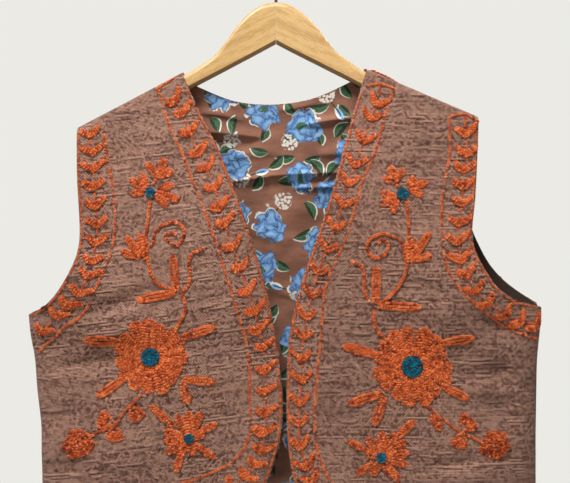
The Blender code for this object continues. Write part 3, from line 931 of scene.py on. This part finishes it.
# %% Drawing petals and discs
ROW_PITCH = 2.6  # from one row to the next, side by side
OUTLINE_STEPS = 16
SQUEEZE = 0.2  # a last row goes in even where it lacks this much room
LONE_ROW = 0.42  # below this share of the pitch, one row up the middle does for both sides
BASE_PULL = 1.4  # an inner row starts further from a narrow base than from a broad one
LATEST_START = 0.45
RING_POINTS = 4  # for each millimetre of radius
SMALLEST_RING = 0.3
DISC_PITCH = 0.85  # the rings of a disc lie closer, at this share of the pitch
PETAL_SWAY = 0.15
PETAL_WIDTHS = (0.80, 0.94)  # how much of its room round the flower a petal fills
random.seed(11)


def curve_through(points, step=1.2):
    """Points every step millimetres or so along a smooth curve through the given ones."""
    knots = [Vector(point) for point in points]
    if len(knots) == 2:
        count = max(2, round((knots[1] - knots[0]).length / step))
        return [knots[0].lerp(knots[1], i / count) for i in range(count + 1)]
    knots = [knots[0] * 2 - knots[1], *knots, knots[-1] * 2 - knots[-2]]
    path = []
    for before, start, end, after in zip(knots, knots[1:], knots[2:], knots[3:]):
        count = max(2, round((end - start).length / step))
        for i in range(count):
            t = i / count
            path.append(
                (start * 2 + (end - before) * t + (before * 2 - start * 5 + end * 4 - after) * t**2
                 + (start * 3 - before - end * 3 + after) * t**3) / 2
            )
    return path + [knots[-2]]


def petal_rows(base, tip, width, narrow, fullest):
    """Nested loops that fill a petal. It is narrow at its base and fullest at that share of its length."""
    base, tip = Vector(base), Vector(tip)
    ahead = (tip - base).normalized()
    aside = Vector((-ahead.y, ahead.x))
    length = (tip - base).length
    rows = []
    inset = ROW_PITCH / 2
    while width / 2 - inset > -SQUEEZE:
        half = max(width / 2 - inset, 0)
        start = min(inset * (1 + BASE_PULL * (fullest - narrow)), length * LATEST_START)
        end = length - inset
        outline = []
        for i in range(OUTLINE_STEPS + 1):
            share = i / OUTLINE_STEPS
            if share < fullest:
                swell = narrow + (1 - narrow) * math.sin(share / fullest * math.pi / 2)
            else:
                swell = math.sqrt(max(1 - ((share - fullest) / (1 - fullest)) ** 2, 0))
            outline.append((start + (end - start) * share, half * swell))
        if half < ROW_PITCH * LONE_ROW:
            rows.append([base + ahead * along for along, _ in outline])
            break
        left = [base + ahead * along + aside * out for along, out in outline]
        right = [base + ahead * along - aside * out for along, out in reversed(outline)]
        rows.append(left + right[1:])
        inset += ROW_PITCH
    return rows


def ring_row(centre, radius):
    """A closed ring of points."""
    count = max(8, round(radius * RING_POINTS))
    turns = [2 * math.pi * i / count for i in range(count + 1)]
    return [Vector(centre) + Vector((math.cos(turn), math.sin(turn))) * radius for turn in turns]


def disc_rows(centre, radius):
    """Rings from the rim to the middle."""
    rows = []
    ring = radius - ROW_PITCH / 2
    while ring > SMALLEST_RING:
        rows.append(ring_row(centre, ring))
        ring -= ROW_PITCH * DISC_PITCH
    return rows


def rosette_rows(centre, radius, count, uneven, hollow=0.0):
    """Petals side by side round a middle, with their round tips apart."""
    centre = Vector(centre)
    rows = []
    for i in range(count):
        turn = 2 * math.pi * (i + random.uniform(-PETAL_SWAY, PETAL_SWAY)) / count
        reach = radius * random.uniform(1 - uneven, 1 + uneven)
        out = Vector((math.cos(turn), math.sin(turn)))
        width = 2 * math.sin(math.pi / count) * radius * random.uniform(*PETAL_WIDTHS)
        rows += petal_rows(centre + out * hollow, centre + out * reach, width, narrow=0.25, fullest=0.84)
    return rows


print("row pitch: %.2f mm" % ROW_PITCH)

# %% Drawing the strokes of a border
TIP_SHARE = 0.58  # where a stroke is narrower than this share of its widest, its inner rows end
HAND_SLIP = 0.8
STROKE_WIDTHS = (0.9, 1.1)
# The strokes that a border repeats, seen with the border running up
Station = namedtuple("Station", "right up width")
TICK = rows_of(Station, (-9.8, 2.0, 7.4), (-3.4, -1.8, 9.6), (4.4, 0.2, 7.8), (11.4, 6.6, 5.4))
BOWL = rows_of(Station, (-11.0, 3.2, 6.2), (-5.0, -1.6, 8.0), (1.0, -3.0, 8.2), (11.2, 4.8, 5.8))
HEART = rows_of(
    Station, (-10.8, 4.6, 6.0), (-5.6, -1.2, 7.0), (0.2, -4.8, 7.4), (5.2, -1.2, 7.0), (9.4, 5.2, 6.0),
)


def ribbon_rows(stations):
    """Rows side by side along a stroke, through points of (x, z, width). They close up where it narrows."""
    path = curve_through(stations)
    widest = max(point.z for point in path)
    count = max(1, round((widest - LINK_WIDTH) / ROW_PITCH) + 1)
    rows = []
    for i in range(count):
        place = 2 * i / (count - 1) - 1 if count > 1 else 0.0
        row = []
        for j, point in enumerate(path):
            if abs(place) < 1 and point.z < widest * TIP_SHARE:
                continue
            along = (path[min(j + 1, len(path) - 1)] - path[max(j - 1, 0)]).xy.normalized()
            out = max(point.z - LINK_WIDTH, 0) / 2 * place
            row.append(point.xy + Vector((-along.y, along.x)) * out)
        rows.append(row)
    return rows


def crescent_rows(place, up_row, shape, size):
    """A shape's rows at a place, each a little different, as a hand makes them."""
    across = Vector((up_row.y, -up_row.x))
    stations = []
    for station in shape:
        right = station.right + random.uniform(-HAND_SLIP, HAND_SLIP)
        up = station.up + random.uniform(-HAND_SLIP, HAND_SLIP)
        point = place + (across * right + up_row * up) * size
        stations.append((point.x, point.y, station.width * size * random.uniform(*STROKE_WIDTHS)))
    return ribbon_rows(stations)


print("points in a stroke:", len(TICK), len(BOWL), len(HEART))

# %% Laying rows on the cloth
LINK_STEP = 3.0  # from one link to the next along a row
YAW = 0.38  # how far a link may turn out of its row, in radians
STRAY = 0.30  # and how far it may lie beside it
TONE_SPREAD = 0.19
Stitch = namedtuple("Stitch", "matrix tone")
LONGEST_GAP = 8 * MM  # a row that jumps further has crossed from one sheet to another
OUTSIDE = 0.3  # in metres, clear of the cloth on every side
FIRST_LINK = (0.3, 0.9)  # where a row's first link lies, in steps from the row's start
LINK_SIZES = (0.93, 1.08)
LINK_HEIGHTS = (0.9, 1.15)


def land_from_front(tree, x, z):
    aim = Vector((x, CHEST_Y, z)) * MM - EYE
    return tree.ray_cast(EYE, aim.normalized())[:2]


def land_from_behind(tree, x, z):
    return tree.ray_cast(Vector((x * MM, OUTSIDE, z * MM)), Vector((0, -1, 0)))[:2]


def land_from_above(tree, x, y):
    return tree.ray_cast(Vector((x * MM, y * MM, OUTSIDE)), Vector((0, 0, -1)))[:2]


def runs_on_cloth(tree, land, row, most_lean):
    """The stretches of a row that land on the cloth, as lists of (place, normal)."""
    run = []
    for point in row:
        place, normal = land(tree, point[0], point[1])
        leans = place is None or abs(normal.y) < most_lean
        jumps = run and place is not None and (place - run[-1][0]).length > LONGEST_GAP
        if leans or jumps:
            if len(run) > 1:
                yield run
            run = []
        if not leans:
            run.append((place, normal))
    if len(run) > 1:
        yield run


def stitches_along(run, size, tone, lift, skip):
    """Links at even steps along one run, with this share of them left out."""
    step = LINK_STEP * size * MM
    travelled = 0.0
    wanted = step * random.uniform(*FIRST_LINK)
    for (start, up_a), (end, up_b) in zip(run, run[1:]):
        span = (end - start).length
        while span > 0 and travelled + span >= wanted:
            share = (wanted - travelled) / span
            place = start.lerp(end, share)
            up = up_a.lerp(up_b, share).normalized()
            ahead = (end - start).normalized()
            ahead = Matrix.Rotation(random.uniform(-YAW, YAW), 3, up) @ ahead
            side = up.cross(ahead).normalized()
            place = place + side * random.uniform(-STRAY, STRAY) * MM
            ahead = side.cross(up)
            grow = size * random.uniform(*LINK_SIZES)
            turn = Matrix((ahead * grow, side * grow, up * size * random.uniform(*LINK_HEIGHTS))).transposed()
            matrix = Matrix.Translation(place + up * lift * MM) @ turn.to_4x4()
            shade = min(max(random.gauss(tone, TONE_SPREAD), 0), 1)
            if random.random() >= skip:
                yield Stitch(matrix, shade)
            wanted += step
        travelled += span


print("link step: %.2f mm" % LINK_STEP)

# %% Needlework
class Needlework:
    """Rows gathered for one piece, on one sheet."""

    def __init__(self, sheet, land, most_lean=0.25):
        self.tree = BVHTree.FromObject(sheet, bpy.context.evaluated_depsgraph_get())
        self.land = land
        self.most_lean = most_lean
        self.stitches = []

    def sew(self, rows, tone, size=1.0, lift=0.0, skip=0.0):
        for row in rows:
            for run in runs_on_cloth(self.tree, self.land, row, self.most_lean):
                self.stitches += stitches_along(run, size, tone, lift, skip)

    def make(self, name, yarn, sheet):
        """Copy the link to every stitch. All of them become one object."""
        bm = bmesh.new()
        tones = link.attributes[LINK_TONE].data
        for matrix, tone in self.stitches:
            for vertex, place in zip(link.vertices, link_shape):
                vertex.co = matrix @ place
            # The link's own dye tone, darkened towards its bottom as painted shade
            tones.foreach_set("value", [tone * light for light in painted_link_shading])
            bm.from_mesh(link)
        mesh = mesh_of(bm, name)
        mesh.materials.append(yarn)
        obj = add_object(name, mesh)
        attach(obj, BODY)
        trims[sheet].append(obj)
        print("%s: %d links, %d triangles" % (name, len(self.stitches), 2 * len(mesh.polygons)))


trims = {node: [] for node in sheets}

# %% [markdown]
# ## The motifs
# Each front has the same garland, drawn freehand, so the two sides are cousins and not mirror images: a
# three-part posy on a long stem with a spiral, a large flower with leaves, a small star flower, and a side
# sprig. Their places are in millimetres on the flat chest. Petals and leaves go from base to tip.

# %% Motif tables
Petal = namedtuple("Petal", "x0 z0 x1 z1 width")
Disc = namedtuple("Disc", "x z radius")
Fan = namedtuple("Fan", "x z x1 z1 x2 z2")  # its root, and the two ends of its rim
Garland = namedtuple("Garland", "discs flower posy calyx leaves stems sprig fans star star_leaves button")


def petals_at(base, *tips):
    """Petals that share a base."""
    return [Petal(*base, *tip) for tip in tips]


RIGHT_GARLAND = Garland(
    discs=rows_of(Disc, (-130, -267, 5.2), (-130, -438, 9.4), (-90, -522.5, 5.4)),
    flower=Disc(-130, -438, 38.5),
    posy=rows_of(
        Petal,
        (-122, -251, -135, -236, 8.6), (-122, -251, -115, -231, 8.6), (-122, -251, -106, -244, 8.6),
        (-134, -264, -139, -247, 8.2), (-134, -264, -152, -253, 8.4), (-134, -266, -151, -269, 8.0),
        (-125, -266, -106, -258, 8.2), (-125, -267, -99, -275, 8.6), (-125, -268, -113, -283, 8.4),
    ),
    calyx=rows_of(
        Petal,
        (-138, -335, -156, -312, 8.4), (-138, -335, -141, -309, 8.0), (-138, -335, -161, -328, 8.4),
        (-134, -340, -137, -312, 7.4),
    ),
    leaves=rows_of(
        Petal,
        (-103, -371, -107, -331, 9.6), (-101, -370, -145, -380, 9.6), (-161, -422, -200, -421, 11.4),
        (-100, -419, -62, -406, 9.6), (-98, -461, -62, -464, 8.6), (-97, -463, -91, -488, 9.4),
        (-157, -460, -186, -480, 9.8),
    ),
    stems=(
        ((-128, -260), (-124, -252)),
        (
            (-130, -274), (-133, -298), (-136, -326), (-132, -339), (-130, -350), (-124, -360), (-114, -366),
            (-103, -370),
        ),
        (
            (-130, -323), (-127, -318), (-125, -308), (-117, -301), (-106, -298), (-97, -303), (-95, -311),
            (-99, -319), (-105, -322), (-112, -317), (-114, -312), (-108, -309), (-103, -311),
        ),
        ((-99, -371), (-91, -364), (-89, -350), (-90, -340), (-86, -330), (-74, -325)),
        ((-98, -372), (-94, -383), (-95, -393), (-104, -410)),
    ),
    sprig=((-139, -476), (-148, -486), (-155, -492), (-161, -501), (-166, -507), (-179, -514), (-193, -521)),
    fans=rows_of(
        Fan,
        (-151, -488, -137, -499, -145, -508), (-168, -506, -181, -496, -189, -508),
        (-167, -508, -174, -527, -161, -525),
    ),
    star=petals_at(
        (-90, -523),
        (-103, -497, 9.4), (-90, -494, 10.0), (-77, -495, 9.4), (-116, -515, 9.6), (-117, -526, 9.4),
        (-114, -538, 9.4), (-101, -543, 8.8), (-73, -516, 10.0), (-86, -541, 8.8),
    ),
    star_leaves=rows_of(
        Petal,
        (-105, -511, -131, -488, 8.2), (-79, -515, -60, -507, 7.6), (-86, -528, -62, -544, 8.2),
        (-97, -535, -104, -558, 8.2),
    ),
    button=Disc(-205, -528, 16),
)
LEFT_GARLAND = Garland(
    discs=rows_of(Disc, (132, -268, 6.2), (142, -448, 11), (110, -542, 5.6)),
    flower=Disc(142, -448, 41),
    posy=rows_of(
        Petal,
        (124, -256, 111, -252, 8.4), (124, -256, 119, -239, 8.4), (124, -256, 133, -242, 8.4),
        (137, -263, 144, -250, 8.2), (137, -263, 158, -256, 8.6), (137, -263, 154, -270, 8.4),
        (127, -272, 109, -267, 8.2), (127, -272, 109, -280, 8.4), (127, -272, 121, -289, 8.4),
    ),
    calyx=rows_of(
        Petal,
        (140, -338, 144, -314, 8.2), (140, -338, 161, -308, 8.6), (140, -338, 163, -332, 8.2),
        (137, -341, 138, -316, 7.2),
    ),
    leaves=rows_of(
        Petal,
        (104, -384, 105, -343, 9.8), (104, -384, 152, -387, 9.6), (109, -437, 69, -426, 10.6),
        (170, -424, 207, -418, 9.6), (171, -467, 201, -482, 9.6), (112, -475, 75, -487, 9.6),
        (114, -477, 102, -510, 9.8),
    ),
    stems=(
        ((128, -262), (125, -257)),
        (
            (136, -275), (138, -297), (138, -319), (137, -343), (133, -355), (126, -367), (114, -379),
            (104, -383),
        ),
        (
            (136, -339), (134, -332), (133, -323), (128, -316), (120, -312), (110, -310), (100, -314),
            (95, -323), (98, -332), (104, -335), (114, -331), (117, -323), (114, -317), (109, -316),
            (107, -321),
        ),
        ((78, -338), (87, -342), (91, -348), (92, -358), (92, -367), (97, -382)),
        ((102, -388), (104, -408), (114, -419)),
    ),
    sprig=((151, -483), (167, -497), (176, -504), (186, -512), (199, -519), (213, -526)),
    fans=rows_of(
        Fan,
        (174, -502, 161, -502, 165, -515), (192, -514, 198, -496, 211, -507),
        (194, -516, 183, -533, 196, -534),
    ),
    star=petals_at(
        (110, -542),
        (95, -521, 9.4), (111, -515, 10.0), (125, -517, 9.6), (136, -525, 9.4), (139, -537, 9.4),
        (137, -550, 9.4), (94, -537, 10.0), (100, -562, 9.0), (121, -563, 9.0),
    ),
    star_leaves=rows_of(
        Petal,
        (97, -536, 75, -525, 7.6), (125, -523, 145, -503, 8.6), (102, -548, 84, -560, 8.2),
        (117, -550, 129, -568, 8.2),
    ),
    button=Disc(228, -530, 16),
)
FLOWER_PETALS = 15
FLOWER_RINGS = (1.6, 4.2, 6.8)  # rings of stitches round the centre, where the petals are too narrow to meet
BUTTON_PETALS = 9
FAN_RIM = 5.0  # how far a fan's yarn reaches past the ends of its rim, both together
for garland in (RIGHT_GARLAND, LEFT_GARLAND):
    petals = garland.posy + garland.calyx + garland.leaves + garland.star + garland.star_leaves
    print("garland: %d petals and leaves, %d stems" % (len(petals), len(garland.stems)))

# %% [markdown]
# ## The borders
# A chain of little crescents runs along each opening and round each armhole, between a thin line right at
# the edge and another one inside it. The crescents' points are where a fine middle line threads them.

# %% Border tables
Border = namedtuple("Border", "crescents inner edge_side shape upright", defaults=(0.0,))
RIGHT_OPENING = Border(
    crescents=(
        (-106, -169), (-97, -182), (-90, -203), (-81, -224), (-73, -240), (-65, -260), (-58, -280),
        (-53, -297), (-46, -322), (-37, -344), (-30, -368), (-22, -388), (-18, -408), (-13, -426),
        (-11, -450), (-10, -472), (-10, -494), (-12, -514), (-14, -533), (-20, -548), (-30, -561),
        (-45, -572), (-64, -580), (-85, -586), (-107, -590), (-129, -594), (-151, -598), (-173, -602),
        (-195, -607), (-217, -611),
    ),
    inner=(
        (-122, -159), (-115, -184), (-105, -210), (-96, -229), (-86, -256), (-77, -279), (-67, -305),
        (-58, -333), (-46, -371), (-39, -394), (-31, -420), (-27, -450), (-27, -479), (-26, -508),
        (-31, -530), (-45, -547), (-64, -557), (-86, -566), (-120, -574), (-160, -581), (-200, -588),
        (-232, -594),
    ),
    edge_side=1,
    shape=TICK,
)
LEFT_OPENING = Border(
    crescents=(
        (107, -171), (100, -186), (93, -210), (84, -234), (77, -253), (71, -276), (63, -299), (55, -322),
        (45, -346), (39, -369), (33, -392), (30, -413), (27, -436), (27, -458), (25, -481), (24, -503),
        (25, -526), (31, -547), (38, -562), (50, -580), (67, -594), (88, -603), (110, -607), (133, -609),
        (156, -611), (179, -612), (202, -613), (225, -613), (248, -613),
    ),
    inner=(
        (123, -159), (112, -193), (104, -224), (93, -248), (85, -275), (74, -312), (59, -346), (51, -371),
        (48, -409), (44, -450), (41, -488), (41, -508), (43, -532), (48, -549), (57, -566), (74, -582),
        (100, -588), (140, -591), (180, -592), (220, -594), (258, -594),
    ),
    edge_side=-1,
    shape=HEART,
)
RIGHT_ARMHOLE = Border(
    crescents=(
        (-194, -204), (-191, -222), (-190, -239), (-189, -258), (-188, -277), (-186, -297), (-186, -316),
        (-190, -336), (-194, -351), (-203, -369), (-215, -382), (-226, -393), (-241, -410),
    ),
    inner=(
        (-179, -204), (-173, -242), (-168, -270), (-167, -304), (-171, -328), (-183, -358), (-199, -391),
        (-220, -408), (-245, -431),
    ),
    edge_side=-1,
    shape=BOWL,
    upright=0.8,
)
LEFT_ARMHOLE = Border(
    crescents=(
        (198, -202), (199, -223), (197, -240), (195, -257), (194, -275), (191, -296), (189, -314),
        (192, -333), (198, -349), (207, -366), (219, -381), (238, -392), (252, -400), (269, -403),
    ),
    inner=(
        (181, -186), (181, -227), (175, -260), (173, -293), (176, -336), (189, -364), (213, -387),
        (241, -408), (271, -419),
    ),
    edge_side=1,
    shape=BOWL,
    upright=0.8,
)
CLOSING_LINES = (
    ((94, -157), (108, -154), (123, -159)),
    ((182, -187), (198, -186), (210, -193)),
    ((109, -155), (108, -167)),
    ((198, -187), (197, -199)),
    ((-104, -147), (-112, -152), (-123, -159)),
)
SHOULDER_STRAND = ((101, -8.5), (108, -9.5), (115, -8.8), (122, -9.8), (129, -9.4))  # x and y
BACK_BORDERS = (
    Border(
        crescents=(
            (-92, -166), (-76, -177), (-57, -184), (-36, -187), (-14, -189), (8, -188), (30, -185),
            (52, -180), (72, -171), (89, -160),
        ),
        inner=(
            (-110, -182), (-88, -194), (-60, -201), (-30, -204), (0, -205), (30, -202), (60, -196),
            (86, -186), (106, -174),
        ),
        edge_side=1,
        shape=BOWL,
    ),
    Border(
        crescents=(
            (-188, -225), (-186, -246), (-185, -268), (-183, -290), (-183, -312), (-187, -333), (-195, -352),
            (-207, -369), (-221, -384),
        ),
        inner=(
            (-171, -216), (-167, -250), (-165, -290), (-167, -325), (-178, -358), (-194, -382), (-214, -402),
        ),
        edge_side=-1,
        shape=BOWL,
    ),
    Border(
        crescents=(
            (189, -214), (188, -235), (188, -257), (189, -278), (193, -299), (201, -318), (212, -336),
            (224, -352), (240, -366),
        ),
        inner=((172, -206), (170, -240), (170, -280), (177, -312), (190, -336), (206, -358), (228, -380)),
        edge_side=1,
        shape=BOWL,
    ),
    Border(
        crescents=tuple((-218 + 22 * i, -616) for i in range(21)),
        inner=tuple((-232 + 48 * i, -596) for i in range(11)),
        edge_side=-1,
        shape=BOWL,
    ),
)
FRONT_BORDERS = (RIGHT_OPENING, LEFT_OPENING, RIGHT_ARMHOLE, LEFT_ARMHOLE)
print("crescents:", sum(len(border.crescents) for border in FRONT_BORDERS + BACK_BORDERS))

# %% [markdown]
# ## Sewing a motif
# Each kind of stroke has its own wool: a tone between deep (0) and light (1), a size of link, a lift off the
# cloth in millimetres and a share of links left out. The line at the very edge isn't drawn beforehand. It is
# found on the cloth itself, so it stays beside the edge wherever the edge curves.

# %% Sewing borders and garlands
EDGE_LINE_INSET = 2.0
EDGE_SEARCH = 32.0
EDGE_STEP = 0.5
STROKE_SIZES = (0.93, 1.06)


def edge_line(work, path, side):
    """The thin line right at the edge, found by walking from the crescents to where the cloth ends."""
    line = []
    for i, point in enumerate(path):
        along = (path[min(i + 1, len(path) - 1)] - path[max(i - 1, 0)]).normalized()
        out = Vector((-along.y, along.x)) * side
        reach = 0.0
        while reach < EDGE_SEARCH:
            spot = point + out * (reach + EDGE_STEP)
            place, normal = work.land(work.tree, spot.x, spot.y)
            if place is None or abs(normal.y) < work.most_lean:
                break
            reach += EDGE_STEP
        if reach < EDGE_SEARCH:
            line.append(point + out * (reach - EDGE_LINE_INSET))
    return line


def sew_border(work, border):
    """The crescents, the fine line that threads them, and the lines on both sides of them."""
    path = curve_through(border.crescents, step=3.0)
    places = [Vector(place) for place in border.crescents]
    for i, place in enumerate(places):
        along = (places[max(i - 1, 0)] - places[min(i + 1, len(places) - 1)]).normalized()
        along = (along + Vector((0, border.upright))).normalized()
        size = random.uniform(*STROKE_SIZES)
        work.sew(crescent_rows(place, along, border.shape, size), tone=0.56)
    work.sew([curve_through(border.crescents)], size=0.78, tone=0.50, lift=-0.5, skip=0.25)
    work.sew([curve_through(border.inner)], size=1.0, tone=0.52, lift=-0.7, skip=0.12)
    line = edge_line(work, path, border.edge_side)
    if len(line) > 3:
        work.sew([curve_through(line[::2])], size=0.72, tone=0.50, lift=-0.4, skip=0.12)


def sew_garland(work, garland):
    """The large flower, then petals and leaves, stems, fans and the small round flower."""
    flower = garland.flower
    hollow = garland.discs[1].radius
    work.sew(rosette_rows(flower[:2], flower.radius, FLOWER_PETALS, hollow=hollow, uneven=0.07), tone=0.56)
    work.sew([ring_row(flower[:2], hollow + out) for out in FLOWER_RINGS], tone=0.58)
    for petal in garland.posy + garland.calyx:
        work.sew(petal_rows(petal[:2], petal[2:4], petal.width, narrow=0.4, fullest=0.66), tone=0.56)
    for petal in garland.leaves + garland.star_leaves:
        work.sew(petal_rows(petal[:2], petal[2:4], petal.width, narrow=0.5, fullest=0.62), tone=0.58)
    for petal in garland.star:
        work.sew(petal_rows(petal[:2], petal[2:4], petal.width, narrow=0.4, fullest=0.7), tone=0.55)
    for stem in garland.stems:
        work.sew([curve_through(stem)], size=1.2, tone=0.52)
    work.sew([curve_through(garland.sprig)], size=0.95, tone=0.46)
    for fan in garland.fans:
        tip = ((fan.x1 + fan.x2) / 2, (fan.z1 + fan.z2) / 2)
        width = math.hypot(fan.x2 - fan.x1, fan.z2 - fan.z1) + FAN_RIM
        work.sew(petal_rows(fan[:2], tip, width, narrow=0.2, fullest=0.8), tone=0.5)
    button = garland.button
    work.sew(rosette_rows(button[:2], button.radius, BUTTON_PETALS, uneven=0.12), tone=0.40)


print("edge lines lie %.1f mm inside the edge" % EDGE_LINE_INSET)

# %% [markdown]
# ## Embroidery on the cloth
# A piece of needlework holds the links of one colour on one sheet. The fronts are drawn as the camera sees
# them, so their rows land along its lines of sight. The back's rows land straight from behind, and the one
# strand on the shoulder lands from above.

# %% Embroider the fronts
for node, garland, borders, side in (
    ("front_right", RIGHT_GARLAND, (RIGHT_OPENING, RIGHT_ARMHOLE), "right"),
    ("front_left", LEFT_GARLAND, (LEFT_OPENING, LEFT_ARMHOLE), "left"),
):
    flowers = Needlework(sheets[node], land_from_front)
    sew_garland(flowers, garland)
    flowers.make(side + "_garland", orange_wool, node)
    centres = Needlework(sheets[node], land_from_front)
    for disc in garland.discs:
        centres.sew(disc_rows(disc[:2], disc.radius), size=0.95, tone=0.56, lift=1.5)
    centres.make(side + "_flower_centres", teal_wool, node)
    edging = Needlework(sheets[node], land_from_front, most_lean=0.12)
    for border in borders:
        sew_border(edging, border)
    for line in CLOSING_LINES:
        if (line[0][0] > 0) == (side == "left"):
            edging.sew([curve_through(line)], size=0.95, tone=0.55, lift=-0.2)
    edging.make(side + "_border", orange_wool, node)

# %% Embroider the back
back_work = Needlework(sheets["back"], land_from_behind, most_lean=0.12)
for border in BACK_BORDERS:
    sew_border(back_work, border)
back_work.make("back_border", orange_wool, "back")
strand = Needlework(sheets["back"], land_from_above, most_lean=0.0)
strand.sew([curve_through(SHOULDER_STRAND)], size=1.5, tone=0.6, lift=0.6)
strand.make("shoulder_strand", orange_wool, "back")

# %% [markdown]
# ## Wooden hanger and wire hook
# The hanger is two curved boards mitred at the middle, sawn so that the grain runs along each arm. The
# solids are already the right shape, so they keep their form and only get a finish.

# %% Wood and steel
PALE_WOOD = (0.660, 0.420, 0.165)
MID_WOOD = (0.440, 0.230, 0.068)
DARK_WOOD_AND_SHADE = (0.150, 0.060, 0.018)


def pine(name, slope):
    """Wood whose grain runs at this slope, in degrees, seen from the front."""
    wood = Finish(name, roughness=0.42, specular=0.4)
    wood.shader.inputs["Coat Weight"].default_value = 0.25
    wood.shader.inputs["Coat Roughness"].default_value = 0.25
    place = wood.node("TexCoord", output="Object")
    turned = wood.node("Mapping", place, vector_type="POINT")
    turned.socket.node.inputs["Rotation"].default_value = (0, math.radians(slope), 0)
    split = wood.node("SeparateXYZ", turned).socket.node
    along, deep, up = (Value(wood, split.outputs[i]) * METRE for i in range(3))
    wander = wood.noise(wood.point(along / 70.0, deep / 12.0, up / 12.0), detail=2.0)
    rings = ((up + deep * 0.6 + wander * 9.0) / 3.4).sin() * 0.5 + 0.5
    fibre = wood.noise(wood.point(along / 16.0, deep / 0.9, up / 0.9), detail=3.0)
    pores = wood.noise(wood.point(along / 5.0, deep / 0.35, up / 0.35), detail=1.0).step(0.64, 0.74)
    grain = rings * 0.30 + fibre * 0.70
    colour = wood.node("ValToRGB", grain, stops=((0.22, MID_WOOD), (0.55, PALE_WOOD), (0.82, MID_WOOD)))
    colour = wood.mix(pores * 0.45, colour, DARK_WOOD_AND_SHADE)
    # Faces that turn downwards are painted darker: painted shade on the underside of the arms
    normal = wood.node("NewGeometry", output="Normal")
    facing_down = Value(wood, wood.node("SeparateXYZ", normal).socket.node.outputs[2])
    wood.colour(wood.mix(facing_down.step(-0.35, -0.8) * 0.75, colour, DARK_WOOD_AND_SHADE))
    wood.bump(fibre, 0.12)
    return wood.material


def steel():
    wire = Finish("steel_wire", roughness=0.28, metallic=1.0)
    place = wire.node("TexCoord", output="Object")
    drawn = wire.noise(place, scale=900.0, detail=2.0)
    wire.colour(wire.mix(drawn, (0.26, 0.26, 0.27), (0.44, 0.44, 0.46)))
    wire.bump(drawn, 0.02)
    return wire.material


frame["nodes"]["hanger_arm_right"].material_slots[0].material = pine("pine_right_arm", 29)
frame["nodes"]["hanger_arm_left"].material_slots[0].material = pine("pine_left_arm", -27)
frame["nodes"]["hook"].material_slots[0].material = steel()
print("hanger finished")

# %% [markdown]
# ## What each sheet was cut from
# A pattern cutter would want the flat size of every piece of cloth. Each one hangs from the hanger's arms,
# and its stitches lie on it.

Cut = namedtuple("Cut", "node width length area")
CUTS = (
    Cut("front_right", 0.278, 0.496, 0.0967),
    Cut("front_left", 0.283, 0.500, 0.1010),
    Cut("back", 0.562, 0.518, 0.2360),
    Cut("back_lining", 0.560, 0.516, 0.2340),
)
for cut in CUTS:
    sheet = sheets[cut.node]
    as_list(trims[cut.node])
    print("%s: cut %.0f x %.0f mm" % (sheet.name, cut.width / MM, cut.length / MM))

# %% Sizes
model_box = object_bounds()
boxes = {"cad": [list(corner) for corner in cad_box], "model": [list(corner) for corner in model_box]}
print("model box:", boxes["model"])
